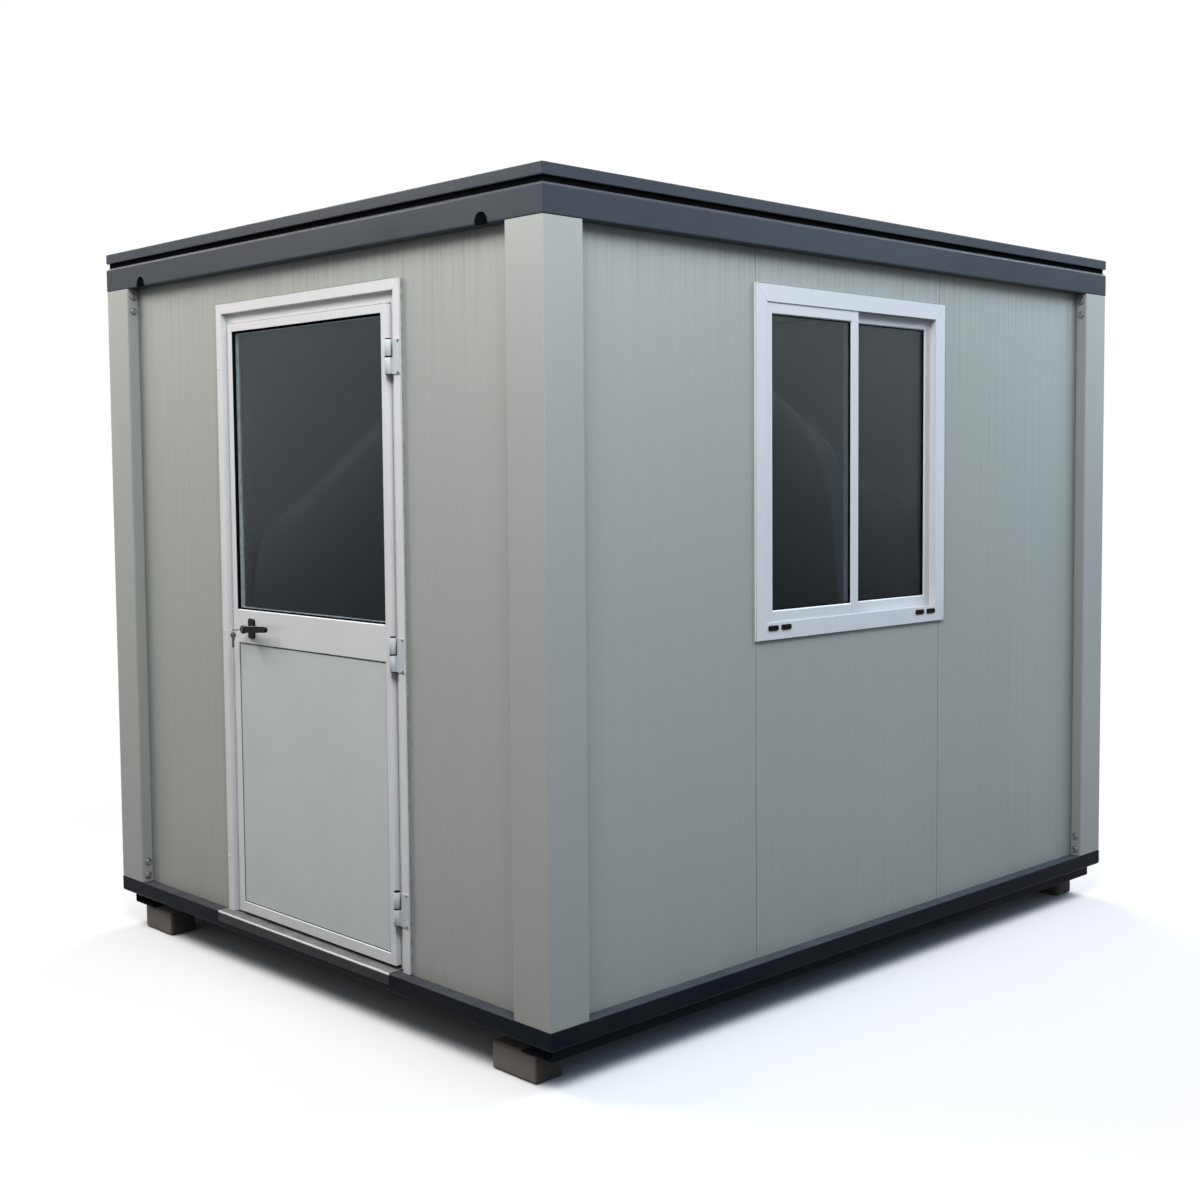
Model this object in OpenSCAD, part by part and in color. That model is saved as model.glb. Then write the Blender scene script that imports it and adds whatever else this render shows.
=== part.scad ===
// Portable office unit: a steel-framed cabin of sandwich panels with one door and one
// sliding window, standing on four blocks. Millimetres, +Z up, door side facing -Y.
// The origin is on the ground at the middle of the footprint.

/* [Overall size] */
// Width across the door side, over the corner posts
body_w = 2565; // [2400:5:3200]
// Length along the window side, over the corner posts
body_l = 3015; // [2700:5:3900]
// Height of the corner posts
post_h = 2280; // [2250:5:2700]

/* [Ground supports] */
// Length of a support block, across the cabin
block_l = 205; // [180:5:300]
// Width of a support block, along the cabin
block_w = 105; // [80:5:200]
// Height of a support block
block_h = 85; // [50:5:200]
// Distance from the cabin's side to a block
block_inset = 107; // [60:1:140]
// Radius of a block's upright edges
block_round = 14; // [4:1:20]
// Width of the sloped edges at a block's top and foot
block_chamfer = 8; // [2:1:15]
// Height of the runners
runner_h = 45; // [30:1:80]
// Width of the runners
runner_w = 140; // [120:5:200]
// Set-back of the runners from the cabin's sides
runner_inset = 33; // [20:1:45]
// Set-back of the runners and blocks from the cabin's ends
runner_end_inset = 36; // [20:1:80]

/* [Base frame and floor] */
// Height of the base frame's outer face
base_h = 60; // [50:1:120]
// Width of the base frame's top ledge, panels included
base_ledge = 110; // [100:1:140]
// Width of the base frame's bottom flange
base_flange = 70; // [50:1:90]
// Radius of the base frame's rounded lower edge
base_round = 12; // [6:1:16]
// Sheet thickness of the base frame and runners
frame_t = 4; // [3:0.5:5]
// Number of floor joists
joist_count = 5; // [3:1:7]
// Height left free under a floor joist, over the base frame's underside
joist_rise = 10; // [5:1:20]
// Width of a floor joist
joist_w = 40; // [30:1:60]
// Thickness of the floor deck
deck_t = 18; // [15:1:28]

/* [Corner posts] */
// Face width of a post on the door side
post_end_w = 164; // [140:1:200]
// Face width of a post on the window side
post_side_w = 150; // [140:1:200]
// Sheet thickness of the posts
post_t = 3; // [2:0.5:4]
// Width of the lip that each post folds against the wall
post_lip = 25; // [15:1:35]
// Outside bend radius of the folded posts
post_bend = 5; // [4:0.5:8]

/* [Wall panels] */
// Set-back of the wall faces behind the posts' faces
wall_inset = 45; // [35:1:60]
// Thickness of the sandwich wall panels
wall_t = 40; // [40:1:50]
// Cover width of one wall panel
panel_module = 1000; // [900:5:1100]
// Distance from the door side to the first panel joint on the long walls
first_joint = 922; // [700:1:1000]
// Spacing of the fine upright grooves
groove_pitch = 50; // [40:1:100]
// Width of a fine groove
groove_w = 4; // [3:0.5:8]
// Depth of a fine groove
groove_d = 0.6; // [0.4:0.1:2]
// Length of the tongue between two panels
tongue_l = 10; // [6:1:15]
// Thickness of the tongue between two panels
tongue_t = 12; // [8:1:16]
// Clearance round a tongue
tongue_gap = 0.5; // [0.2:0.1:1]
// Half width of the open slot that shows at a joint
joint_gap = 1.5; // [0.5:0.25:2.5]
// Depth of the open slot that shows at a joint
joint_d = 5; // [3:0.5:8]

/* [Roof] */
// Height of the roof beam's flat outer face
beam_face = 81; // [70:1:120]
// Height of the sloped lip over the flat face
beam_lip = 8; // [5:1:12]
// Sheet thickness of the roof beams
beam_t = 4; // [3:0.5:5]
// Width of the roof beam's bottom flange
beam_flange = 110; // [100:1:140]
// Width of the roof beam's top flange
beam_top = 70; // [50:1:90]
// Height of the shadow groove between beam and edge trim
trim_gap = 17; // [10:1:25]
// Depth of the shadow groove
trim_inset = 20; // [12:1:30]
// Height of the edge trim's face
trim_face = 36; // [30:1:60]
// Width over the top of the edge trim
trim_top = 90; // [80:1:120]
// Height of the edge trim's inner drop
trim_drop = 32; // [20:1:50]
// Width of the edge trim's foot on the beam
trim_foot = 50; // [30:1:60]
// Open joint at the edge trim's corners
trim_joint = 0.4; // [0.2:0.1:2]
// Sheet thickness of the edge trim
trim_t = 2; // [1.5:0.5:3]
// Width of a drain notch
notch_w = 61; // [40:1:80]
// Height of a drain notch
notch_h = 36; // [32:1:45]
// Distance from the cabin's side to a drain notch's middle
notch_inset = 268; // [220:1:400]
// Thickness of the roof panels without their ribs
roof_t = 40; // [30:1:45]
// Height of the ribs on the roof panels
rib_h = 34; // [20:1:38]
// Spacing of the ribs on the roof panels
rib_pitch = 250; // [200:5:333]
// Width of a roof rib at its foot
rib_foot = 62; // [50:1:80]
// Width of a roof rib at its crest
rib_crest = 24; // [15:1:40]
// Number of roof panels
roof_count = 3; // [2:1:4]
// Set-back of the roof panels from the cabin's sides
roof_edge = 30; // [20:1:60]
// Gap between two roof panels
roof_joint = 2; // [1:0.5:5]

/* [Doorway] */
// Middle of the doorway, from the cabin's centre line
door_x = 23; // [-150:1:150]
// Width over the door frame's cover flange
frame_w = 1100; // [900:5:1150]
// Height over the door frame's cover flange
frame_h = 2175; // [2000:5:2200]
// Width of the cover flange
frame_flange = 35; // [30:1:45]
// How far the cover flange stands out of the wall
frame_proud = 12; // [8:1:16]
// Width of the recessed band between flange and leaf
frame_band = 34; // [25:1:36]
// Set-back of the recessed band behind the wall's face
band_inset = 8; // [4:0.5:10]
// Thickness of the cover flange's lip
flange_lip = 4; // [3:0.5:6]
// Depth of the groove behind the cover flange's lip
lip_groove = 4; // [2:0.5:6]
// How far the cover flange laps over the wall panels
frame_lap = 17; // [10:1:25]
// Width of the stop that the leaf closes against
stop_w = 19; // [12:1:25]
// How far the sill's left end runs past the door frame
sill_past_left = 17; // [-40:1:30]
// How far the sill's right end stops short of the door frame's edge
sill_short_right = 64; // [0:1:66]
// Height of the door sill's front drop
sill_drop = 37; // [20:1:50]
// Sheet thickness of the door sill
sill_t = 2; // [1.5:0.5:3]

/* [Door leaf] */
// Gap beside and over the leaf
leaf_gap = 6; // [6:0.5:8]
// Gap between the leaf and the sill's tread
foot_gap = 12.5; // [6:0.5:15]
// Thickness of the leaf
leaf_t = 40; // [36:1:44]
// How far the leaf stands out of the wall
leaf_proud = 10; // [8:1:12]
// Width of the leaf's stiles
stile_w = 32; // [28:1:60]
// Height of the leaf's top rail
top_rail = 30; // [28:1:60]
// Height of the leaf's bottom rail
bottom_rail = 37; // [30:1:80]
// Height of the lower edge of the middle rail over the post feet
mid_rail_z = 981; // [800:1:1050]
// Height of the middle rail
mid_rail = 122; // [110:1:160]
// Depth of the panes in the stiles
pane_bite = 8; // [6:1:12]
// Set-back of the door glass behind the leaf's face
glass_inset = 10; // [8:1:14]
// Thickness of the door's double glazing
glass_t = 20; // [16:1:22]
// Set-back of the lower panel behind the leaf's face
infill_inset = 4; // [3:0.5:6]
// Width of the sloped glazing beads round the panes
bead = 5; // [3:0.5:6]
// Width of the fine line where two profiles meet at a mitred corner
mitre_w = 0.8; // [0.4:0.1:1.5]
// Depth of the fine line at a mitred corner
mitre_d = 0.6; // [0.4:0.1:1.5]

/* [Door hinges] */
// Height of the lowest hinge's middle over the post feet
hinge_low = 204; // [150:1:400]
// Height of the middle hinge's middle over the post feet
hinge_mid = 1010; // [800:1:1200]
// Height of the highest hinge's middle over the post feet
hinge_high = 1935; // [1600:1:1960]
// Length of a hinge
hinge_l = 108; // [90:1:130]
// Radius of a hinge knuckle
knuckle_r = 10.5; // [8:0.25:10.5]
// Width of the sloped edge at a knuckle's ends
knuckle_edge = 1.5; // [0.5:0.25:3]
// Radius of the hinge pin
pin_r = 4; // [3:0.25:5]
// Clearance between pin and bore
pin_gap = 0.05; // [0.02:0.01:0.1]
// How far the hinge axis stands out of the wall
hinge_proud = 15; // [15:0.5:18]
// Distance from the leaf's edge to the hinge axis
hinge_out = 17.5; // [16:0.5:19]
// Thickness of the hinge plates
plate_t = 3; // [2:0.5:4]
// Depth of the hinge plate on the leaf's edge
leaf_plate_d = 12; // [8:1:16]

/* [Handle] */
// Height of the lever's axis over the post feet
lever_z = 1037; // [1000:1:1090]
// Distance from the leaf's lock edge to the lever's axis
backset = 124; // [60:1:150]
// Length of the lever from its axis
lever_l = 150; // [110:1:170]
// Height of the lever bar at its hub
lever_h = 24; // [18:1:28]
// Height of the lever bar at its end
lever_end_h = 21; // [14:1:24]
// Depth of the lever bar at its hub
lever_d = 13; // [11:1:16]
// Depth of the lever bar at its end
lever_end_d = 9; // [7:1:11]
// Slope at which the lever bar rises towards its end, in degrees
lever_slope = 3; // [0:0.5:5]
// How far the hub's faces stand past the bar's
hub_step = 0.75; // [0.5:0.25:1.5]
// Radius of the lever's round hub
hub_r = 15.5; // [14:0.5:18]
// Distance from the leaf's face to the lever bar's near side
lever_gap = 29; // [24:1:40]
// Radius of the lever's round neck
neck_r = 9; // [7:0.5:10]
// Width of the handle plates
plate_w = 38; // [32:1:46]
// Height of the handle plates
plate_h = 72; // [60:1:110]
// Radius of the handle plates' corners
plate_round = 11; // [6:0.5:15]
// Thickness of the handle plates
plate_d = 7; // [5:1:10]
// Width of the sloped edge round the handle plates
plate_edge = 2; // [1:0.5:4]

/* [Window] */
// Distance from the door side to the window frame
window_y = 916; // [700:1:1100]
// Height of the window frame's lower edge over the post feet
window_z = 1032; // [800:1:1100]
// Width over the window frame
window_w = 1030; // [800:5:1200]
// Height over the window frame
window_h = 1140; // [900:5:1180]
// Width of the window frame's cover flange
window_flange = 56; // [45:1:70]
// How far the cover flange stands out of the wall
window_proud = 8; // [6:1:10]
// How far the cover flange laps over the wall panels
window_lap = 16; // [10:1:20]
// Depth of the sashes' edges in the frame's channels
sash_bite = 8; // [5:1:12]
// Face width of a sash's upright profiles, bite not counted
sash_stile = 30; // [26:1:40]
// Face height of a sash's level profiles, bite not counted
sash_rail = 38; // [30:1:50]
// Thickness of a sash
sash_t = 20; // [16:1:22]
// Gap between the two sashes
sash_gap = 4; // [3.5:0.5:6]
// Thickness of the track rib between the two sashes
track_t = 2; // [1.5:0.5:2.5]
// How far the meeting stiles lap over each other
sash_lap = 28; // [20:1:36]
// Thickness of a window pane
pane_t = 4; // [4:1:6]
// Width of the sloped beads round the window panes
sash_bead = 4; // [3:0.5:6]
// How far the window frame stands into the room
window_room_proud = 5; // [3:1:10]

/* [Hidden] */

// Overlap that joins two shapes, and overshoot of a cut
JOIN = 0.5;
CUT = 5;
// Clearance of a frame in its hole in the wall, and of a pane in its seat
hole_gap = 1;
pane_gap = 1;
// Clearance of a moving sash or lever to what it passes
run_gap = 1;
// Segments in each quarter turn of a folded bend
BEND_STEPS = 4;

// Levels
base_z = block_h + runner_h;
foot_z = base_z + base_h;
beam_z = foot_z + post_h;
beam_h = beam_face + beam_lip;
trim_h = beam_h + trim_gap + trim_face;

// Walls
end_wall_w = body_w - 2 * wall_inset;
side_wall_l = body_l - 2 * (wall_inset + wall_t);
room_w = body_w - 2 * (wall_inset + wall_t);
half = groove_pitch / 2;
cut_w = first_joint - wall_inset - wall_t;
rest_w = side_wall_l - cut_w - panel_module;
cut_first = cut_w - half - groove_pitch * floor((cut_w - half - groove_w) / groove_pitch);
rest_first = rest_w - half - groove_pitch * floor((rest_w - half - groove_w) / groove_pitch);

// Doorway, with x measured from the cabin's centre line
door_hole_w = frame_w - 2 * frame_lap;
door_hole_h = frame_h - frame_lap;
door_hole_x = door_x - door_hole_w / 2;
frame_side = frame_flange + frame_band;
leaf_w = frame_w - 2 * (frame_side + leaf_gap);
leaf_z = sill_t + foot_gap;
leaf_h = frame_h - frame_side - leaf_gap - leaf_z;
leaf_x = door_x - leaf_w / 2;
leaf_back = leaf_t - leaf_proud;
stop_gap = 5;
sill_left = frame_w / 2 + sill_past_left;
sill_right = frame_w / 2 - sill_short_right;
hinge_x = leaf_x + leaf_w + hinge_out;
hinge_play = 1;
knuckle_h = (hinge_l - hinge_play) / 2;
pin_end = 10;
pin_l = hinge_l / 2 - pin_end;
lever_x = leaf_x + backset;
neck_gap = 3;
light_z = mid_rail_z + mid_rail;
light_h = leaf_z + leaf_h - top_rail - light_z;
infill_z = leaf_z + bottom_rail;
infill_h = mid_rail_z - infill_z;
infill_t = leaf_t - 2 * infill_inset;
bead_rim = 1;

// Window, with x measured along the wall from its middle
window_x = window_y - body_l / 2;
window_clear_w = window_w - 2 * window_flange;
window_clear_h = window_h - 2 * window_flange;
sash_w = (window_clear_w + sash_lap) / 2 + sash_bite;
sash_h = window_clear_h + 2 * sash_bite;
face_lip = 4;
room_lip_t = 3;
channel = window_flange - sash_bite;
outer_face = face_lip;
inner_face = outer_face - sash_t - sash_gap;
sash_side = sash_bite + sash_stile;
sash_bar = sash_bite + sash_rail;
sash_slot = (sash_t - pane_t) / 2;

// ---- Folded sheet -------------------------------------------------------------------

function unit(v) = v / norm(v);
function left_of(v) = [-v[1], v[0]];
function turned(v, a) = [v[0] * cos(a) - v[1] * sin(a), v[0] * sin(a) + v[1] * cos(a)];
function turn_angle(d, e) = atan2(d[0] * e[1] - d[1] * e[0], d[0] * e[0] + d[1] * e[1]);

// One bend of a folded sheet at corner p between directions d and e, s from the path
function bend(p, d, e, s, t, r) =
    let (
        a = turn_angle(d, e),
        n = left_of(d),
        c = a > 0 ? r : t - r,
        mid = p + c * (n + left_of(e)) / (1 + d * e)
    )
    [for (k = [0:BEND_STEPS]) mid - (c - s) * turned(n, a * k / BEND_STEPS)];

// One face of a folded sheet: the path moved s to its left, with round bends
function sheet_face(path, s, t, radii) =
    let (
        n = len(path) - 1,
        dirs = [for (i = [0:n - 1]) unit(path[i + 1] - path[i])]
    )
    concat(
        [path[0] + s * left_of(dirs[0])],
        [for (i = [1:n - 1]) each bend(path[i], dirs[i - 1], dirs[i], s, t, radii[i - 1])],
        [path[n] + s * left_of(dirs[n - 1])]
    );

function reversed(v) = [for (i = [len(v) - 1:-1:0]) v[i]];

// Section of a sheet t thick on the left of its path, with one outside radius per bend
module folded(path, t, radii) {
    polygon(concat(sheet_face(path, 0, t, radii), reversed(sheet_face(path, t, t, radii))));
}

function same(value, count) = [for (i = [1:count]) value];

// Outside radius of the tightest bend that a sheet of this thickness takes
function tight(t) = t + 1;

// ---- Places -------------------------------------------------------------------------
// On each side local X runs to the right seen from outside, +Y goes in from the posts'
// outer faces and Z is up.

module on_front() {
    translate([0, -body_l / 2, 0]) children();
}

module on_back() {
    translate([0, body_l / 2, 0]) rotate([0, 0, 180]) children();
}

module on_right() {
    translate([body_w / 2, 0, 0]) rotate([0, 0, 90]) children();
}

module on_left() {
    translate([-body_w / 2, 0, 0]) rotate([0, 0, -90]) children();
}

// Depth of a face that stands out of the wall by the given amount
function depth(proud) = wall_inset - proud;

// A section of [depth, height] drawn out along X and mitred at both ends
module mitred(length, reach, low, high, gap = 0) {
    intersection() {
        translate([-length / 2, 0, 0])
            rotate([90, 0, 90])
                linear_extrude(length)
                    children();
        translate([0, 0, low - CUT])
            linear_extrude(high - low + 2 * CUT)
                polygon([
                    [-length / 2 + gap, 0],
                    [length / 2 - gap, 0],
                    [length / 2 - reach - gap, reach],
                    [-length / 2 + reach + gap, reach]
                ]);
    }
}

// A box from a low corner, by its sizes
module box(x, y, z, w, d, h) {
    translate([x, y, z]) cube([w, d, h]);
}

// A rectangle with round corners, centred
module round_rect(w, h, r) {
    square([w - 2 * r, h], center = true);
    square([w, h - 2 * r], center = true);
    for (i = [-1, 1], j = [-1, 1])
        translate([i * (w / 2 - r), j * (h / 2 - r)]) circle(r = r, $fn = 48);
}

// A rectangular ring: outer size w by h, bars as wide as given
module ring(w, h, bar) {
    difference() {
        square([w, h]);
        translate([bar, bar]) square([w - 2 * bar, h - 2 * bar]);
    }
}

// A goalpost: two legs and a head, open at its foot
module goalpost(w, h, bar) {
    difference() {
        square([w, h]);
        translate([bar, -CUT]) square([w - 2 * bar, h - bar + CUT]);
    }
}

// A w by h rectangle at depth d whose sides slope out at 45 degrees towards depth 0.
// Two prisms crossed at a right angle give the four slopes.
module sloped(w, h, d) {
    intersection() {
        translate([0, 0, -d])
            linear_extrude(h + 2 * d)
                polygon([[-d, 0], [w + d, 0], [w, d], [0, d]]);
        translate([-d, 0, 0])
            rotate([90, 0, 90])
                linear_extrude(w + 2 * d)
                    polygon([[0, -d], [d, 0], [d, h], [0, h + d]]);
    }
}

// Fine lines across the corners of a w by h ring with bars as wide as given. The feet of
// a goalpost have none.
module mitre_lines(w, h, bar, feet = true) {
    inner = mitre_d * sqrt(2);
    for (i = [0, 1], j = feet ? [0, 1] : [1])
        translate([i * w, j * h])
            mirror([i, 0])
                mirror([0, j])
                    rotate(45)
                        translate([inner, -mitre_w / 2])
                            square([bar * sqrt(2) - 2 * inner, mitre_w]);
}

// Draws a front view out from one depth to a deeper one
module slab(from_depth, to_depth) {
    translate([0, to_depth, 0])
        rotate([90, 0, 0])
            linear_extrude(to_depth - from_depth)
                children();
}

// ---- Ground supports and base frame --------------------------------------------------

module support_blocks() {
    color("dimgray")
        for (i = [-1, 1], j = [-1, 1])
            translate([
                i * (body_w / 2 - block_inset - block_l / 2),
                j * (body_l / 2 - runner_end_inset - block_w / 2),
                0
            ])
                intersection() {
                    linear_extrude(block_h)
                        round_rect(block_l, block_w, block_round);
                    rotate([90, 0, 0])
                        block_side(block_l, block_w);
                    rotate([90, 0, 90])
                        block_side(block_w, block_l);
                }
}

// A block's side view with sloped edges at top and foot, drawn out to the given depth
module block_side(w, d) {
    c = block_chamfer;
    linear_extrude(d, center = true)
        polygon([
            [c - w / 2, 0], [w / 2 - c, 0], [w / 2, c], [w / 2, block_h - c],
            [w / 2 - c, block_h], [c - w / 2, block_h], [-w / 2, block_h - c], [-w / 2, c]
        ]);
}

// Channel with its web outwards
module runner(side) {
    web = body_w / 2 - runner_inset;
    length = body_l - 2 * runner_end_inset;
    path = [[runner_w, runner_h], [0, runner_h], [0, 0], [runner_w, 0]];
    color("#1d2229")
        rotate([0, 0, side])
            translate([-length / 2, -web, block_h])
                rotate([90, 0, 90])
                    linear_extrude(length)
                        folded(path, frame_t, same(tight(frame_t), 2));
}

module left_runner() runner(-90);
module right_runner() runner(90);

module base_beam(length) {
    path = [[base_ledge, base_h], [0, base_h], [0, 0], [base_flange, 0]];
    color("#20262e")
        translate([0, 0, base_z])
            mitred(length, base_ledge + CUT, 0, base_h)
                folded(path, frame_t, [tight(frame_t), base_round]);
}

module front_base_beam() on_front() base_beam(body_w);
module back_base_beam() on_back() base_beam(body_w);
module left_base_beam() on_left() base_beam(body_l);
module right_base_beam() on_right() base_beam(body_l);

module floor_joists() {
    joist_h = base_h - joist_rise;
    length = body_w - 2 * base_ledge;
    spacing = (body_l - 2 * base_ledge) / (joist_count + 1);
    path = [[joist_w, joist_h], [0, joist_h], [0, 0], [joist_w, 0]];
    color("#2b3036")
        for (i = [1:joist_count])
            translate([
                -length / 2,
                -body_l / 2 + base_ledge + i * spacing - joist_w / 2,
                foot_z - joist_h
            ])
                rotate([90, 0, 90])
                    linear_extrude(length)
                        folded(path, frame_t, same(tight(frame_t), 2));
}

module floor_deck() {
    color("#8d8a83")
        translate([-room_w / 2, -side_wall_l / 2, foot_z])
            cube([room_w, side_wall_l, deck_t]);
}

// ---- Corner posts ---------------------------------------------------------------------

// Folded post: two faces, two returns that meet the walls, and two lips on the walls
module corner_post() {
    path = [
        [wall_inset, post_side_w - post_lip],
        [wall_inset, post_side_w],
        [0, post_side_w],
        [0, 0],
        [post_end_w, 0],
        [post_end_w, wall_inset],
        [post_end_w - post_lip, wall_inset]
    ];
    color("#a6a8a3")
        translate([-body_w / 2, -body_l / 2, foot_z])
            linear_extrude(post_h)
                folded(path, post_t, same(post_bend, 5));
}

module front_left_post() corner_post();
module front_right_post() mirror([1, 0, 0]) corner_post();
module back_left_post() mirror([0, 1, 0]) corner_post();
module back_right_post() mirror([1, 0, 0]) mirror([0, 1, 0]) corner_post();

// ---- Wall panels -----------------------------------------------------------------------

// Plan of a panel w wide with its grooved face at depth 0. The first groove stands
// first from the left edge. The joints say which edges meet another panel.
module panel_plan(w, first, left_joint, right_joint) {
    count = floor((w - first - groove_w) / groove_pitch);
    lo = (wall_t - tongue_t) / 2;
    hi = (wall_t + tongue_t) / 2;
    grooves = [
        for (i = [0:count], k = [-1:1])
            [first + i * groove_pitch + k * groove_w / 2, k == 0 ? groove_d : 0]
    ];
    right_edge = right_joint
        ? [
            [w - joint_gap, 0],
            [w - joint_gap, joint_d],
            [w, joint_d],
            [w, lo - tongue_gap],
            [w - tongue_l - tongue_gap, lo - tongue_gap],
            [w - tongue_l - tongue_gap, hi + tongue_gap],
            [w, hi + tongue_gap],
            [w, wall_t]
        ]
        : [[w, 0], [w, wall_t]];
    left_edge = left_joint
        ? [
            [0, wall_t],
            [0, hi],
            [-tongue_l, hi],
            [-tongue_l, lo],
            [0, lo],
            [0, joint_d],
            [joint_gap, joint_d],
            [joint_gap, 0]
        ]
        : [[0, wall_t], [0, 0]];
    polygon(concat(grooves, right_edge, left_edge));
}

// A panel on a side's wall line, from x, over the height from low to high
module wall_panel(x, w, first, left_joint, right_joint, low = 0, high = post_h) {
    color("#a3a6a2")
        translate([x, wall_inset, foot_z + low])
            linear_extrude(high - low)
                panel_plan(w, first, left_joint, right_joint);
}

// End walls stand across the full width, behind the posts

module front_wall_left() {
    on_front()
        wall_panel(-end_wall_w / 2, door_hole_x + end_wall_w / 2, half, false, false);
}

module front_wall_right() {
    x = door_hole_x + door_hole_w;
    on_front() wall_panel(x, end_wall_w / 2 - x, half, false, false);
}

module front_wall_over_door() {
    on_front() wall_panel(door_hole_x, door_hole_w, half, false, false, door_hole_h);
}

// Two whole panels and the rest of the width, counted from the left seen from behind
module back_wall_left() {
    on_back() wall_panel(-end_wall_w / 2, panel_module, half, false, true);
}

module back_wall_middle() {
    on_back() wall_panel(-end_wall_w / 2 + panel_module, panel_module, half, true, true);
}

module back_wall_right() {
    rest = end_wall_w - 2 * panel_module;
    on_back() wall_panel(end_wall_w / 2 - rest, rest, half, true, false);
}

// Long walls: a cut panel at the door side, a whole one, and the rest. Local x runs
// along the wall from its middle, and is reversed on the left wall.

module window_hole() {
    box(
        window_x + window_lap, -CUT, foot_z + window_z + window_lap,
        window_w - 2 * window_lap, wall_inset + wall_t + 2 * CUT, window_h - 2 * window_lap
    );
}

module right_wall_front() {
    on_right()
        difference() {
            wall_panel(-side_wall_l / 2, cut_w, cut_first, false, true);
            window_hole();
        }
}

module right_wall_middle() {
    on_right()
        difference() {
            wall_panel(-side_wall_l / 2 + cut_w, panel_module, half, true, true);
            window_hole();
        }
}

module right_wall_back() {
    on_right()
        difference() {
            wall_panel(side_wall_l / 2 - rest_w, rest_w, half, true, false);
            window_hole();
        }
}

module left_wall_front() {
    on_left() wall_panel(side_wall_l / 2 - cut_w, cut_w, half, true, false);
}

module left_wall_middle() {
    on_left() wall_panel(-side_wall_l / 2 + rest_w, panel_module, half, true, true);
}

module left_wall_back() {
    on_left() wall_panel(-side_wall_l / 2, rest_w, rest_first, false, true);
}

// ---- Roof -------------------------------------------------------------------------------

// Folded beam: bottom flange, flat face, sloped lip and top flange
module roof_beam(length) {
    path = [
        [beam_top, beam_h],
        [beam_lip, beam_h],
        [0, beam_face],
        [0, 0],
        [beam_flange, 0]
    ];
    color("#4a5056")
        translate([0, 0, beam_z])
            mitred(length, beam_flange + CUT, 0, beam_h)
                folded(path, beam_t, same(tight(beam_t), 3));
}

// Round-topped drain notches, open at the beam's lower edge
module drain_notches() {
    for (i = [-1, 1])
        translate([i * (body_w / 2 - notch_inset), beam_t + CUT, beam_z])
            rotate([90, 0, 0])
                linear_extrude(beam_t + 2 * CUT) {
                    translate([0, notch_h - notch_w / 2]) circle(d = notch_w, $fn = 64);
                    translate([-notch_w / 2, -CUT]) square([notch_w, notch_h - notch_w / 2 + CUT]);
                }
}

module end_roof_beam() {
    difference() {
        roof_beam(body_w);
        drain_notches();
    }
}

module front_roof_beam() on_front() end_roof_beam();
module back_roof_beam() on_back() end_roof_beam();
module left_roof_beam() on_left() roof_beam(body_l);
module right_roof_beam() on_right() roof_beam(body_l);

// Ribbed roof panels that lie on the beams' bottom flanges
module roof_panels() {
    length = (body_l - 2 * roof_edge - (roof_count - 1) * roof_joint) / roof_count;
    ribs = floor((length - rib_foot) / rib_pitch);
    first = (length - ribs * rib_pitch) / 2;
    crest = [for (i = [0:ribs]) each [
        [first + i * rib_pitch - rib_foot / 2, roof_t],
        [first + i * rib_pitch - rib_crest / 2, roof_t + rib_h],
        [first + i * rib_pitch + rib_crest / 2, roof_t + rib_h],
        [first + i * rib_pitch + rib_foot / 2, roof_t]
    ]];
    color("#b4b7b5")
        for (i = [0:roof_count - 1])
            translate([
                -body_w / 2 + roof_edge,
                -body_l / 2 + roof_edge + i * (length + roof_joint),
                beam_z + beam_t
            ])
                rotate([90, 0, 90])
                    linear_extrude(body_w - 2 * roof_edge)
                        polygon(concat([[0, 0], [0, roof_t]], crest, [[length, roof_t], [length, 0]]));
}

// Folded cover over the beams: inner drop, top, face, return, riser and foot
module edge_trim(length) {
    low = beam_h + trim_gap;
    path = [
        [trim_top, trim_h - trim_drop],
        [trim_top, trim_h],
        [0, trim_h],
        [0, low],
        [trim_inset, low],
        [trim_inset, beam_h],
        [trim_inset + trim_foot, beam_h]
    ];
    color("#4d5359")
        translate([0, 0, beam_z])
            mitred(length, trim_top + CUT, beam_h, trim_h, trim_joint / 2)
                folded(path, trim_t, same(tight(trim_t), 5));
}

module roof_edge_trim() {
    on_front() edge_trim(body_w);
    on_back() edge_trim(body_w);
    on_left() edge_trim(body_l);
    on_right() edge_trim(body_l);
}

// ---- Doorway ------------------------------------------------------------------------------

// Stepped frame: cover flange with its lip, recessed band with its body, and the stop.
// Its legs stand on the sill.
module door_frame() {
    body_lap = frame_lap + hole_gap;
    legs_h = frame_h - sill_t;
    stop_lap = frame_side - JOIN;
    color("#c9cdd0")
        on_front()
            translate([door_x - frame_w / 2, 0, foot_z + sill_t]) {
                difference() {
                    union() {
                        slab(depth(frame_proud), depth(frame_proud - flange_lip))
                            goalpost(frame_w, legs_h, frame_flange);
                        slab(depth(frame_proud - flange_lip), depth(0))
                            translate([lip_groove, 0])
                                goalpost(
                                    frame_w - 2 * lip_groove, legs_h - lip_groove,
                                    frame_flange - lip_groove
                                );
                    }
                    slab(depth(frame_proud) - CUT, depth(frame_proud) + mitre_d)
                        mitre_lines(frame_w, legs_h, frame_flange, false);
                }
                slab(depth(0), depth(-band_inset - JOIN))
                    translate([body_lap, 0])
                        goalpost(
                            frame_w - 2 * body_lap, legs_h - body_lap, frame_flange - body_lap
                        );
                slab(depth(-band_inset), depth(-wall_t))
                    translate([body_lap, 0])
                        goalpost(frame_w - 2 * body_lap, legs_h - body_lap, frame_side - body_lap);
                slab(depth(-leaf_back - stop_gap), depth(-wall_t))
                    translate([stop_lap, 0])
                        goalpost(frame_w - 2 * stop_lap, legs_h - stop_lap, stop_w + JOIN);
            }
}

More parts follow.
